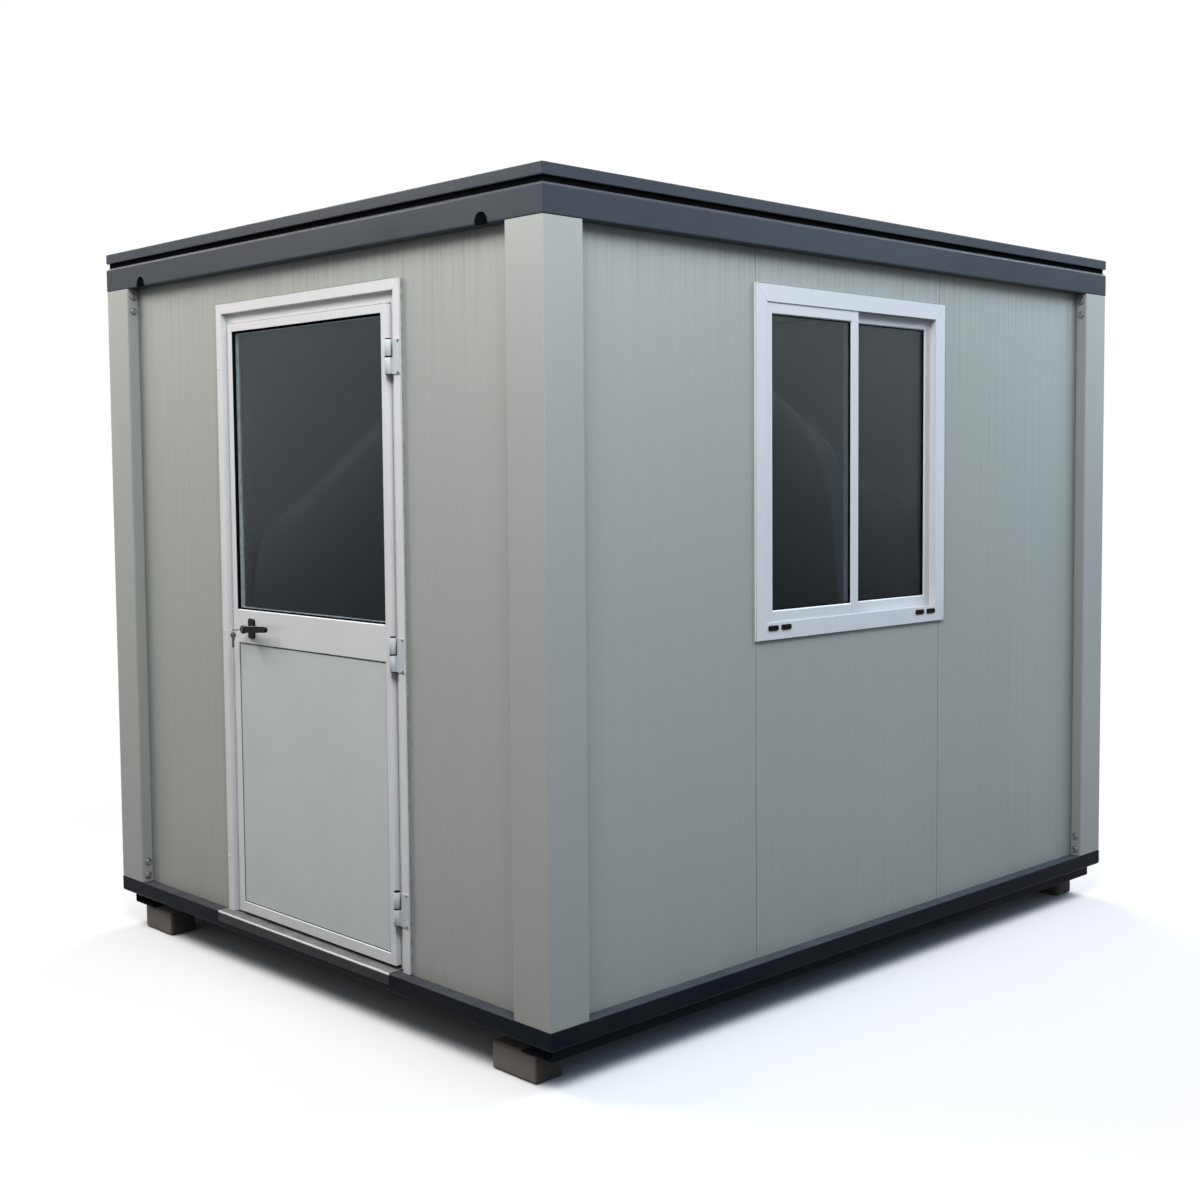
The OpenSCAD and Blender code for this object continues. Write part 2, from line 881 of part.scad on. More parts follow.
// One bent sheet: drop over the base frame, tread and upstand against the floor deck.
// Its inner part is cut back between the frame's legs and stops.
module door_sill() {
    path = [
        [0, -sill_drop],
        [0, 0],
        [depth(-wall_t), 0],
        [depth(-wall_t), deck_t]
    ];
    between_legs = frame_w / 2 - frame_side - hole_gap;
    between_stops = between_legs - stop_w;
    color("#77736d")
        on_front()
            translate([door_x, 0, foot_z])
                difference() {
                    translate([-sill_left, 0, 0])
                        rotate([90, 0, 90])
                            linear_extrude(sill_left + sill_right)
                                folded(path, sill_t, same(tight(sill_t), 2));
                    for (i = [0, 1])
                        mirror([i, 0, 0]) {
                            box(between_legs, depth(0), -CUT, sill_left, wall_t + CUT, deck_t + 2 * CUT);
                            box(
                                between_stops, depth(-leaf_back - stop_gap + hole_gap), -CUT,
                                sill_left, wall_t, deck_t + 2 * CUT
                            );
                        }
                }
}

// ---- Door leaf ------------------------------------------------------------------------------
// The leaf's own modules use local X from its lock edge and Z from its lower edge.

module at_leaf() {
    on_front() translate([leaf_x, 0, foot_z]) children();
}

// An opening through the leaf with sloped beads and a groove that holds a pane
module pane_seat(z, h, face, thick) {
    slope = min(bead, face - bead_rim);
    box(stile_w, -CUT, z, leaf_w - 2 * stile_w, wall_inset + wall_t + 2 * CUT, h);
    translate([stile_w, depth(leaf_proud), z]) sloped(leaf_w - 2 * stile_w, h, slope);
    translate([stile_w, depth(-leaf_back), z])
        mirror([0, 1, 0]) sloped(leaf_w - 2 * stile_w, h, slope);
    box(
        stile_w - pane_bite, depth(leaf_proud - face), z - pane_bite,
        leaf_w - 2 * (stile_w - pane_bite), thick, h + 2 * pane_bite
    );
}

// A pane that fills its seat in thickness and stands on its lower edge
module pane(z, h, face, thick) {
    box(
        stile_w - pane_bite + pane_gap, depth(leaf_proud - face), z - pane_bite,
        leaf_w - 2 * (stile_w - pane_bite + pane_gap), thick, h + 2 * pane_bite - pane_gap
    );
}

// Round hole or shaft along the lever's axis, between two distances out of the wall
module lever_rod(r, from_proud, to_proud) {
    translate([lever_x, depth(from_proud), foot_z + lever_z])
        rotate([90, 0, 0])
            cylinder(r = r, h = to_proud - from_proud, $fn = 64);
}

module door_leaf() {
    color("#ced1d3")
        difference() {
            at_leaf()
                difference() {
                    box(0, depth(leaf_proud), leaf_z, leaf_w, leaf_t, leaf_h);
                    pane_seat(light_z, light_h, glass_inset, glass_t);
                    pane_seat(infill_z, infill_h, infill_inset, infill_t);
                }
            on_front() lever_rod(neck_r + neck_gap, -leaf_back - CUT, leaf_proud + CUT);
        }
}

module door_glass() {
    color("#39444a", 0.5) at_leaf() pane(light_z, light_h, glass_inset, glass_t);
}

module door_lower_panel() {
    color("#b4bab9") at_leaf() pane(infill_z, infill_h, infill_inset, infill_t);
}

// ---- Hinges: lift-off pairs, the lower half on the frame with its pin ---------------------------

module at_hinges() {
    for (z = [hinge_low, hinge_mid, hinge_high])
        translate([hinge_x, depth(hinge_proud), foot_z + z]) children();
}

// One half of a hinge's barrel, with sloped edges at both ends
module knuckle() {
    rotate_extrude($fn = 64)
        polygon([
            [0, 0], [knuckle_r - knuckle_edge, 0], [knuckle_r, knuckle_edge],
            [knuckle_r, knuckle_h - knuckle_edge], [knuckle_r - knuckle_edge, knuckle_h],
            [0, knuckle_h]
        ]);
}

module hinge_frame_parts() {
    edge = door_x + frame_w / 2 - hinge_x;
    plate_y = hinge_proud - frame_proud - plate_t;
    color("#c4c9cc")
        on_front()
            at_hinges() {
                translate([0, 0, -hinge_l / 2]) knuckle();
                translate([0, 0, -hinge_l / 2]) cylinder(r = pin_r, h = knuckle_h + pin_l, $fn = 48);
                box(0, plate_y, knuckle_edge - hinge_l / 2, edge, plate_t, knuckle_h - 2 * knuckle_edge);
                box(edge - frame_flange, plate_y, -hinge_l / 2, frame_flange, plate_t, hinge_l);
            }
}

// The upper half reaches back to a plate on the leaf's edge
module hinge_door_parts() {
    upper_z = hinge_play / 2;
    plate_y = hinge_proud - leaf_proud;
    plate_l = knuckle_h - 2 * knuckle_edge;
    color("#c9ced1")
        on_front()
            at_hinges()
                difference() {
                    union() {
                        translate([0, 0, upper_z]) knuckle();
                        box(-hinge_out, plate_y, upper_z + knuckle_edge, hinge_out, plate_t, plate_l);
                        box(
                            -hinge_out, plate_y, upper_z + knuckle_edge,
                            plate_t, leaf_plate_d, plate_l
                        );
                    }
                    translate([0, 0, -CUT])
                        cylinder(r = pin_r + pin_gap, h = CUT + pin_l + hinge_play, $fn = 48);
                }
}

// ---- Handle -----------------------------------------------------------------------------------

// Places that face out of the leaf's outer face and out of its inner face, at the lever's
// axis. Local Y runs from the face into the leaf.
module at_handles() {
    on_front()
        translate([lever_x, 0, foot_z + lever_z]) {
            translate([0, depth(leaf_proud), 0]) children();
            translate([0, depth(-leaf_back), 0]) mirror([0, 1, 0]) children();
        }
}

// A plate on each side of the leaf, bored for the lever's neck
module handle_plates() {
    color("#17191b")
        difference() {
            at_handles() {
                slab(plate_edge - plate_d, 0) round_rect(plate_w, plate_h, plate_round);
                slab(-plate_d, plate_edge - plate_d)
                    round_rect(
                        plate_w - plate_edge, plate_h - plate_edge, plate_round - plate_edge / 2
                    );
            }
            on_front() lever_rod(neck_r + pin_gap, -leaf_back - plate_d - CUT, leaf_proud + plate_d + CUT);
        }
}

// Lever bar from the hub's axis to its round end, a little thinner than the hub. Its front
// view, its plan and its section are each drawn out and the bar is what they have in common.
module lever_bar() {
    end_r = lever_end_h / 2;
    near = -hub_step;
    far = hub_step - lever_d;
    end_far = near - lever_end_d;
    intersection() {
        slab(-lever_d, 0) {
            polygon([
                [0, -lever_h / 2], [lever_l - end_r, -end_r],
                [lever_l - end_r, end_r], [0, lever_h / 2]
            ]);
            translate([lever_l - end_r, 0]) circle(r = end_r, $fn = 48);
        }
        linear_extrude(2 * hub_r, center = true)
            polygon([[0, near], [lever_l, near], [lever_l, end_far], [hub_r, far], [0, far]]);
        rotate([90, 0, 90])
            linear_extrude(lever_l)
                translate([(near + far) / 2, 0])
                    round_rect(near - far, lever_h, (near - far) / 3);
    }
}

// One lever with its neck: a round hub with a sloped edge, and the bar
module lever() {
    rim = lever_d / 4;
    translate([0, -lever_gap, 0]) {
        rotate([90, 0, 0])
            rotate_extrude($fn = 64)
                polygon([
                    [0, 0], [hub_r - rim / 2, 0], [hub_r, rim / 2], [hub_r, lever_d - rim],
                    [hub_r - rim, lever_d], [0, lever_d]
                ]);
        rotate([0, -lever_slope, 0]) lever_bar();
    }
}

// Both levers on one spindle
module door_lever() {
    reach = lever_gap + JOIN;
    color("#141618") {
        on_front() lever_rod(neck_r, -leaf_back - reach, leaf_proud + reach);
        at_handles() lever();
    }
}

// ---- Window ----------------------------------------------------------------------------------------
// Local X from the frame's edge nearest the door side, Z from its lower edge.

module at_window() {
    on_right() translate([window_x, 0, foot_z + window_z]) children();
}

// Cover flange, lap on the wall, body with the channels, rib between the tracks, lip on
// the room side, and a cover in each track on the side that its sash leaves free
module window_frame() {
    body_lap = window_lap + hole_gap;
    room_face = -wall_t - window_room_proud;
    rib_face = inner_face + (sash_gap + track_t) / 2;
    cover_w = window_flange - channel - run_gap;
    cover_h = window_h - 2 * channel;
    color("#c3cad2")
        at_window() {
            difference() {
                slab(depth(window_proud), depth(face_lip))
                    ring(window_w, window_h, window_flange);
                slab(depth(window_proud) - CUT, depth(window_proud) + mitre_d)
                    mitre_lines(window_w, window_h, window_flange);
            }
            slab(depth(face_lip), depth(0))
                ring(window_w, window_h, channel);
            translate([body_lap, 0, body_lap]) {
                slab(depth(JOIN), depth(room_face))
                    ring(window_w - 2 * body_lap, window_h - 2 * body_lap, channel - body_lap);
                slab(depth(rib_face), depth(rib_face - track_t))
                    ring(
                        window_w - 2 * body_lap, window_h - 2 * body_lap,
                        window_flange - body_lap - run_gap
                    );
                slab(depth(room_face + room_lip_t), depth(room_face))
                    ring(window_w - 2 * body_lap, window_h - 2 * body_lap, window_flange - body_lap);
            }
            translate([window_w - channel - cover_w, 0, channel])
                slab(depth(face_lip), depth(rib_face))
                    square([cover_w, cover_h]);
            translate([channel, 0, channel])
                slab(depth(rib_face - track_t), depth(room_face + room_lip_t))
                    square([cover_w, cover_h]);
        }
}

// A rectangle inside a sash's profiles, grown by the given amount
module in_sash(grow) {
    translate([sash_side - grow, sash_bar - grow])
        square([sash_w - 2 * (sash_side - grow), sash_h - 2 * (sash_bar - grow)]);
}

// A sash with sloped beads and a groove for its pane. Its outer face is at depth 0. Fine
// lines show where its stiles pass its rails.
module sash() {
    clear_w = sash_w - 2 * sash_side;
    clear_h = sash_h - 2 * sash_bar;
    joint_l = sash_bar - sash_bead + CUT;
    difference() {
        slab(0, sash_t) square([sash_w, sash_h]);
        slab(-CUT, sash_t + CUT) in_sash(0);
        slab(sash_slot, sash_slot + pane_t) in_sash(pane_bite);
        for (face = [0, 1])
            translate([0, face * sash_t, 0])
                mirror([0, face, 0]) {
                    translate([sash_side, 0, sash_bar]) sloped(clear_w, clear_h, sash_bead);
                    for (
                        x = [sash_side - sash_bead, sash_w - sash_side + sash_bead - mitre_w],
                        z = [-CUT, sash_h - joint_l + CUT]
                    )
                        box(x, -CUT, z, mitre_w, mitre_d + CUT, joint_l);
                }
    }
}

module sash_pane() {
    slab(sash_slot, sash_slot + pane_t) in_sash(pane_bite - pane_gap);
}

// The two sashes' places in the frame's channels
module at_outer_sash() {
    at_window() translate([channel, depth(outer_face), channel]) children();
}

module at_inner_sash() {
    at_window() translate([window_w - channel - sash_w, depth(inner_face), channel]) children();
}

module outer_sash() color("#c6cdd5") at_outer_sash() sash();
module inner_sash() color("#c0c7d0") at_inner_sash() sash();

module window_panes() {
    color("#353f46", 0.5) {
        at_outer_sash() sash_pane();
        at_inner_sash() sash_pane();
    }
}

support_blocks();
left_runner();
right_runner();
front_base_beam();
back_base_beam();
left_base_beam();
right_base_beam();
floor_joists();
floor_deck();
front_left_post();
front_right_post();
back_left_post();
back_right_post();
front_wall_left();
front_wall_right();
front_wall_over_door();
right_wall_front();
right_wall_middle();
right_wall_back();
left_wall_front();
left_wall_middle();
left_wall_back();
back_wall_left();
back_wall_middle();
back_wall_right();
front_roof_beam();
back_roof_beam();
left_roof_beam();
right_roof_beam();
roof_panels();
roof_edge_trim();
door_frame();
door_sill();
hinge_frame_parts();
door_leaf();
door_glass();
door_lower_panel();
hinge_door_parts();
handle_plates();
door_lever();
window_frame();
outer_sash();
inner_sash();
window_panes();
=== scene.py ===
"""Finishes, small fittings and studio of a portable office unit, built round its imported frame."""

import math

import bmesh
import bpy
from bpy.props import FloatProperty, FloatVectorProperty, PointerProperty
from bpy.types import Operator, Panel, PropertyGroup
from mathutils import Matrix, Vector


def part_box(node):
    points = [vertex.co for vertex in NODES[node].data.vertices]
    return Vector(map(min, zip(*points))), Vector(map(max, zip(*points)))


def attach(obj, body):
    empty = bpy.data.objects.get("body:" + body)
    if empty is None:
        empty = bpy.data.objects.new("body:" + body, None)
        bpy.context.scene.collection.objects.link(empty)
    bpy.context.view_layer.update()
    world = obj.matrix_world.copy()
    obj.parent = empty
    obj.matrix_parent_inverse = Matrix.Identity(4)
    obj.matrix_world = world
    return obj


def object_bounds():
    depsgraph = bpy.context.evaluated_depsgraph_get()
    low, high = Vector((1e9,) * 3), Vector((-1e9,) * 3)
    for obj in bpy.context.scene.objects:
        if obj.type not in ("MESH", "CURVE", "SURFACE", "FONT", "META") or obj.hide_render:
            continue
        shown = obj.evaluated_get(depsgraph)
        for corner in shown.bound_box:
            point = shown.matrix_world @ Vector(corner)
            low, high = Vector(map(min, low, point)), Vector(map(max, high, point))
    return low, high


bl_info = {
    "name": "Portable Office Unit",
    "version": (1, 0, 0),
    "blender": (4, 5, 0),
    "location": "3D View > Sidebar > Office Unit",
    "description": "Finishes, small fittings and studio of a portable office unit",
    "category": "Object",
}

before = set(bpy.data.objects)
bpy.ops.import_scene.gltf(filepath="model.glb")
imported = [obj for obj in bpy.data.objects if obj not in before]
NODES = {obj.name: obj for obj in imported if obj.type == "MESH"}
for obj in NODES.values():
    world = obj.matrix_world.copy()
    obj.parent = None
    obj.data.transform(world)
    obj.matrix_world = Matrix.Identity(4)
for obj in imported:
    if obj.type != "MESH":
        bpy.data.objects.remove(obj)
CAD_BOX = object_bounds()
MM = 0.001

POSTS = ["front_left_post", "front_right_post", "back_left_post", "back_right_post"]
WALLS = [name for name in NODES if "_wall_" in name]
ROOF_BEAMS = ["front_roof_beam", "back_roof_beam", "left_roof_beam", "right_roof_beam"]
BASE_BEAMS = ["front_base_beam", "back_base_beam", "left_base_beam", "right_base_beam"]
RUNNERS = ["left_runner", "right_runner"]
PROFILES = ["door_frame", "door_leaf", "window_frame", "outer_sash", "inner_sash"]
HINGES = ["hinge_frame_parts", "hinge_door_parts"]

FOOT, HEAD = [corner.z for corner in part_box("front_left_post")]  # ends of the posts, in metres
HINGE_HEIGHTS = [FOOT / MM + height for height in (204, 1010, 1935)]
HINGE_HALF = 54  # half the height of a hinge
HINGE_BARREL = 10.5  # radius of a hinge
NOTCH_INSET = 268  # from the roof's side to the middle of a drain notch
LEVER_HUB = 15.5  # radius of the lever's hub
LEAF_JAMB = 32  # from the leaf's side to its panes
RING = 24  # points in a round, hexagon or cross ring, so that they can be joined


def linear(red, green, blue):
    """A colour given in 0 to 255 steps of the screen, as the linear values that a shader takes."""
    steps = [value / 255 for value in (red, green, blue)]
    return [v / 12.92 if v <= 0.04045 else ((v + 0.055) / 1.055) ** 2.4 for v in steps]


# ---- Settings ----


def number(name, description, default, **kind):
    """A setting that is one number."""
    return FloatProperty(name=name, description=description, default=default, **kind)


def numbers(name, description, default, **kind):
    """A setting that is two or three numbers."""
    return FloatVectorProperty(name=name, description=description, default=default, **kind)


def colour(name, description, *screen):
    """A colour setting with its default in screen steps."""
    return numbers(name, description, linear(*screen), subtype="COLOR", size=3, min=0, max=1)


class OfficeColours(PropertyGroup):
    """Colours of the cabin's surfaces."""

    wall: colour("Wall Sheet", "Coated skins of the wall panels", 155, 158, 153)
    post: colour("Posts", "Paint of the corner posts", 154, 156, 152)
    roof: colour("Roof Steel", "Paint of the roof beams and edge trim", 46, 53, 61)
    base: colour("Base Steel", "Paint of the base frame and runners", 16, 21, 28)
    white: colour("White Profiles", "Coating of the door and window profiles", 212, 212, 213)
    hinge: colour("Hinges", "Coating of the hinges", 188, 193, 196)
    infill: colour("Door Panel", "Coating of the door's lower panel", 192, 198, 197)
    roof_sheet: colour("Roof Sheet", "Coated skin of the roof panels", 104, 107, 107)
    bare: colour("Bare Metal", "Worn metal of the sill", 34, 34, 36)
    zinc: colour("Zinc", "Plated bolts and screws", 148, 151, 155)
    nickel: colour("Nickel", "Keys and the lock's face plates", 84, 85, 83)
    black: colour("Black Parts", "Handle and caps", 7, 7, 8)
    seal: colour("Black Seals", "Gaskets of the panes, roof seals and washers", 14, 15, 16)
    grey_seal: colour("Grey Seals", "Soft seals in the gap round the leaf", 172, 175, 177)
    foam: colour("Foam", "Sealing foam behind the frame's lip", 150, 152, 150)
    spacer: colour("Spacer", "Bars between the two panes of the door's glass", 215, 222, 220)
    glass: colour("Glass", "Tint of the panes", 152, 162, 174)
    block: colour("Blocks", "Concrete of the support blocks", 124, 116, 109)
    board: colour("Floor Board", "Deck inside the cabin", 92, 80, 68)
    dust: colour("Dust", "Dust at the foot of the walls and on the sill", 122, 117, 106)
    # Paler colour of upward steel faces: settled dust, and painted light.
    ledge_dust_and_light: colour("Ledge Dust", "Dust that settles on the painted steel", 98, 101, 105)


def size(name, description, millimetres):
    """A size setting, given in millimetres and stored in metres."""
    default = millimetres * MM
    return number(name, description, default, min=0, subtype="DISTANCE", unit="LENGTH")


class OfficeSizes(PropertyGroup):
    """Sizes of the small fittings."""

    edge: size("Edge", "Width of the soft edge on profiles and moulded parts", 0.6)
    bolt_flats: size("Bolt Head", "Width across the flats of the post bolts", 19)
    washer: size("Washer", "Diameter of the washers under the post bolts", 28)
    screw: size("Screw Head", "Diameter of the pan-head screws", 8)
    gasket: size("Gasket", "Width of the gaskets on the panes", 3.5)
    key_bow: size("Key Bow", "Diameter of the bow of the key in the lock", 24)
    key_ring: size("Key Ring", "Outer diameter of the key ring", 16)


def length(name, description, metres):
    """A length setting of the stage."""
    return number(name, description, metres, min=0, unit="LENGTH")


def sky(name, description, *strength):
    """Strength of the surroundings in red, green and blue."""
    return numbers(name, description, strength, size=3)


class OfficeStage(PropertyGroup):
    """Camera, floor and lights."""

    camera_place: numbers(
        "Camera Place", "Where the camera stands", (4.5971, -4.3718, 1.7610), subtype="TRANSLATION"
    )
    camera_turn: numbers(
        "Camera Turn",
        "How the camera is turned",
        [math.radians(angle) for angle in (86.389, 0.3169, 44.7855)],
        subtype="EULER",
    )
    lens: number("Lens", "Focal length", 47.568, min=10, max=200, unit="CAMERA")
    shift: numbers("Shift", "Camera shift across and up", (-0.05555, -0.02213), size=2)
    floor_size: length("Floor Size", "Width of the floor", 120)
    floor_near: length("Lit Floor", "How far from the middle the floor takes shadows", 2.1)
    floor_far: length("Plain Floor", "How far from the middle the floor turns plain", 3.8)
    floor: colour("Floor", "Colour of the floor", 230, 230, 230)
    warm_floor: colour("Warm Floor", "Colour of the floor on the cool-lit side", 240, 229, 222)
    bounce: colour("Floor Bounce", "Colour of the light that the floor sends back", 66, 68, 70)
    lamp_power: number("Lamps", "Power of the lamp at the near corner", 168, unit="POWER")
    lamp_share: number("Other Lamps", "Share of that power in the other lamps", 0.92, min=0)
    lamp_out: length("Lamp Distance", "Distance from the two walls of a corner to its lamp", 1.5)
    lamp_height: length("Lamp Height", "Height of the lamps", 4.25)
    lamp_aim: length("Lamp Aim", "Height that the lamps point at", 2.0)
    lamp_wide: length("Lamp Width", "Width of a lamp", 2.6)
    lamp_high: length("Lamp Face", "Height of a lamp's face", 1.6)
    tint: number("Lamp Tint", "How warm the front left lamp is, the others by it", 0.07)
    door_sky: sky("Door Side", "Light from the door side and the left", 0.30, 0.29, 0.275)
    window_sky: sky("Window Side", "Light from the window side and the back", 0.31, 0.445, 0.61)


# ---- Materials ----


def feed(tree, socket, value):
    """Links a socket to another node's output, or sets it."""
    if isinstance(value, bpy.types.NodeSocket):
        tree.links.new(value, socket)
    else:
        socket.default_value = value


def add_node(tree, kind, feeds=None, **settings):
    """A node with its settings, and its sockets linked or set."""
    node = tree.nodes.new(kind)
    for key, value in settings.items():
        setattr(node, key, value)
    for socket, value in (feeds or {}).items():
        feed(tree, node.inputs[socket], value)
    return node


class Finish:
    """A material under construction: a Principled shader and the nodes that feed it."""

    def __init__(self, name, colour, rough, **sockets):
        self.material = bpy.data.materials.new(name)
        self.material.use_nodes = True
        self.tree = self.material.node_tree
        self.shader = self.tree.nodes["Principled BSDF"]
        self.shade = (*colour, 1)
        self.set("Base Color", self.shade)
        self.set("Roughness", rough)
        for socket, value in sockets.items():
            self.set(socket.replace("_", " "), value)
        self.place = self.add("ShaderNodeTexCoord").outputs["Object"]
        self.x, self.y, self.z = self.add("ShaderNodeSeparateXYZ", {0: self.place}).outputs
        self.bumps = None

    def add(self, kind, feeds=None, **settings):
        return add_node(self.tree, kind, feeds, **settings)

    def set(self, socket, value):
        """Feeds a socket of the shader."""
        feed(self.tree, self.shader.inputs[socket], value)

    def grain(self, scale, detail=2.0, stretch=(1, 1, 1), rough=0.5, shift=0.0):
        """Noise from 0 to 1 with its cells 1 / scale metres wide, drawn out along an axis."""
        feeds = {"Vector": self.place, "Location": (shift, shift, shift), "Scale": stretch}
        place = self.add("ShaderNodeMapping", feeds).outputs[0]
        feeds = {"Vector": place, "Scale": scale, "Detail": detail, "Roughness": rough}
        return self.add("ShaderNodeTexNoise", feeds).outputs["Fac"]

    def span(self, source, low, high, start=0.0, end=1.0):
        """Takes low..high to start..end, and holds the ends."""
        feeds = {"Value": source, "From Min": low, "From Max": high, "To Min": start, "To Max": end}
        return self.add("ShaderNodeMapRange", feeds, clamp=True).outputs[0]

    def calc(self, operation, first, second=0.0):
        return self.add("ShaderNodeMath", {0: first, 1: second}, operation=operation).outputs[0]

    def both(self, *amounts):
        """The product of several amounts."""
        result = amounts[0]
        for amount in amounts[1:]:
            result = self.calc("MULTIPLY", result, amount)
        return result

    def either(self, first, second):
        return self.calc("MAXIMUM", first, second)

    def stain(self, amount, colour):
        """Moves the colour towards another by an amount."""
        self.blend(amount, colour, "MIX")

    def shift_shade(self, amount, factor):
        """Multiplies the colour by a factor where the amount is 1."""
        self.blend(amount, (factor, factor, factor), "MULTIPLY")

    def blend(self, amount, colour, kind):
        feeds = {"Factor": amount, 6: self.shade, 7: (*colour, 1)}
        mix = self.add("ShaderNodeMix", feeds, data_type="RGBA", blend_type=kind)
        self.shade = mix.outputs[2]
        self.set("Base Color", self.shade)

    def rough(self, amount, low, high):
        """Roughness from low to high as the amount goes from 0 to 1."""
        self.set("Roughness", self.span(amount, 0, 1, low, high))

    def relief(self, height, depth):
        """Raises the surface by the given depth, in millimetres, where the height is 1."""
        feeds = {"Height": height, "Distance": depth * MM, "Strength": 1.0}
        if self.bumps:
            feeds["Normal"] = self.bumps
        self.bumps = self.add("ShaderNodeBump", feeds).outputs[0]
        self.set("Normal", self.bumps)

    def normal(self):
        """The parts of the direction that the surface looks in."""
        geometry = self.add("ShaderNodeNewGeometry")
        return self.add("ShaderNodeSeparateXYZ", {0: geometry.outputs["Normal"]}).outputs

    def upward(self, low=0.5, high=0.95):
        """1 on faces that look up, 0 on walls and undersides."""
        return self.span(self.normal()[2], low, high)


def wear(nodes, finish):
    """Puts a finish on CAD nodes."""
    for name in nodes:
        slots = NODES[name].data.materials
        slots.clear()
        slots.append(finish.material)


def coated_sheet(name, colours, shade, foot_dust=0.35, gloss=0.36, marks=0.4):
    """Paint on rolled steel sheet: faint streaks, soft dents, dust at its foot, thin dark streaks
    near its head.
    """
    f = Finish(name, shade, gloss)
    streaks = f.grain(1, 4, (42, 42, 0.55), 0.6)
    patches = f.grain(1.1, 2, (1, 1, 0.6), 0.5, 7.0)
    f.shift_shade(f.span(streaks, 0.42, 0.72, 0, 0.035), 0.55)
    f.shift_shade(f.span(patches, 0.35, 0.7, 0, 0.10), 0.75)
    foot = f.span(f.z, FOOT, FOOT + 0.55, 1, 0)
    splash = f.grain(3.2, 5, (1, 1, 0.7), 0.65, 3.0)
    f.stain(f.both(foot, foot, f.span(splash, 0.35, 0.7, 0.25, 1), foot_dust), colours.dust)
    # Thin dark vertical streaks, darker towards the head.
    head = f.span(f.z, HEAD - 0.45, HEAD, 0, 1)
    runs = f.grain(1, 3, (75, 75, 0.35), 0.55, 11.0)
    f.shift_shade(f.both(head, head, f.span(runs, 0.5, 0.62), marks), 0.62)
    f.rough(f.either(f.span(patches, 0.3, 0.8), f.both(foot, 0.8)), gloss, gloss + 0.2)
    f.relief(f.grain(1.6, 1, (2.2, 2.2, 0.8), 0.4, 5.0), 1.6)
    f.relief(f.grain(420), 0.03)
    return f


def steel_paint(name, colours, shade, gloss, dust, chips=0.5, shine=0.12):
    """Sprayed paint on folded steel: dust and painted light on ledges, grime in streaks, small
    chips.
    """
    f = Finish(name, shade, gloss, Specular_IOR_Level=shine)
    cloud = f.grain(2.1, 4, (1, 1, 1), 0.6, 2.0)
    streaks = f.grain(1, 3, (30, 30, 1.2), 0.6, 9.0)
    f.shift_shade(f.span(streaks, 0.45, 0.8, 0, 0.35), 0.72)
    f.stain(f.span(cloud, 0.4, 0.75, 0, 0.05), colours.dust)
    # Upward faces are painted paler: settled dust, and painted light on ledges and lips.
    settled_dust_and_light = f.both(f.upward(0.3, 0.7), f.span(f.grain(9, 5, rough=0.7), 0.25, 0.7, 0.55, 1), dust)
    f.stain(settled_dust_and_light, colours.ledge_dust_and_light)
    scars = f.span(f.grain(26, 6, (1, 1, 1), 0.75, 4.0), 0.735, 0.76, 0, chips)
    f.stain(scars, [1.5 * v for v in colours.zinc])
    f.rough(f.either(f.span(cloud, 0.3, 0.75), settled_dust_and_light), gloss, gloss + 0.25)
    f.relief(f.grain(2.4, 1, (1, 1, 1), 0.4, 5.0), 0.8)
    f.relief(f.grain(600), 0.04)
    return f


def white_coating(name, shade, gloss=0.3):
    """Powder coating on extruded profiles: fine orange peel, hand marks, grime at the foot."""
    f = Finish(name, shade, gloss)
    cloud = f.grain(3.4, 4, rough=0.6)
    f.shift_shade(f.span(cloud, 0.42, 0.78, 0, 0.14), 0.72)
    f.shift_shade(f.span(f.grain(1, 3, (60, 60, 2.5), 0.6, 4.0), 0.5, 0.8, 0, 0.12), 0.7)
    f.shift_shade(f.both(f.span(f.z, FOOT, FOOT + 0.35, 0.35, 0), cloud), 0.5)
    f.rough(cloud, gloss, gloss + 0.18)
    f.relief(f.grain(520), 0.03)
    return f


def worn_metal(name, colours, shade):
    """Mill-finish metal underfoot: scuffs along the tread, dirt between them, dust and painted
    light on the tread, a worn nose with a painted highlight.
    """
    f = Finish(name, shade, 0.42, Metallic=0.3, Specular_IOR_Level=0.1)
    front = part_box("door_sill")[0].y
    scuffs = f.grain(1, 5, (6, 160, 160), 0.7)
    dirt = f.grain(14, 5, (1, 2, 2), 0.7, 3.0)
    f.shift_shade(f.span(dirt, 0.4, 0.7, 0, 0.6), 0.45)
    # Upward faces are painted paler: dust, and painted light on the tread.
    f.stain(f.both(f.upward(), f.span(dirt, 0.35, 0.65, 0.9, 0.45)), linear(150, 150, 147))
    f.stain(f.span(scuffs, 0.6, 0.74, 0, 0.2), colours.zinc)
    # The front nose is painted near-white: wear, and a painted highlight on the bend.
    edge = f.span(f.y, front, front + 3 * MM, 1, 0)
    nose_wear_and_highlight = f.both(edge, f.span(f.z, FOOT - 5.5 * MM, FOOT - 2.5 * MM))
    f.stain(f.both(nose_wear_and_highlight, 0.95), linear(235, 236, 236))
    f.rough(scuffs, 0.5, 0.28)
    f.relief(scuffs, 0.08)
    return f


def plated(name, shade):
    """Zinc plating with a fine crystal pattern and dull patches."""
    f = Finish(name, shade, 0.35, Metallic=1.0)
    spots = f.grain(380, 3, rough=0.6)
    f.shift_shade(f.span(spots, 0.4, 0.75, 0, 0.6), 0.55)
    f.rough(spots, 0.28, 0.55)
    return f


def moulded(name, shade, gloss):
    """Moulded black plastic with a fine grain."""
    f = Finish(name, shade, gloss, Specular_IOR_Level=0.08)
    f.stain(f.span(f.grain(60, 4, rough=0.7), 0.5, 0.8, 0, 0.06), linear(60, 61, 63))
    f.rough(f.grain(45, 3), gloss, gloss + 0.25)
    f.relief(f.grain(900), 0.03)
    return f


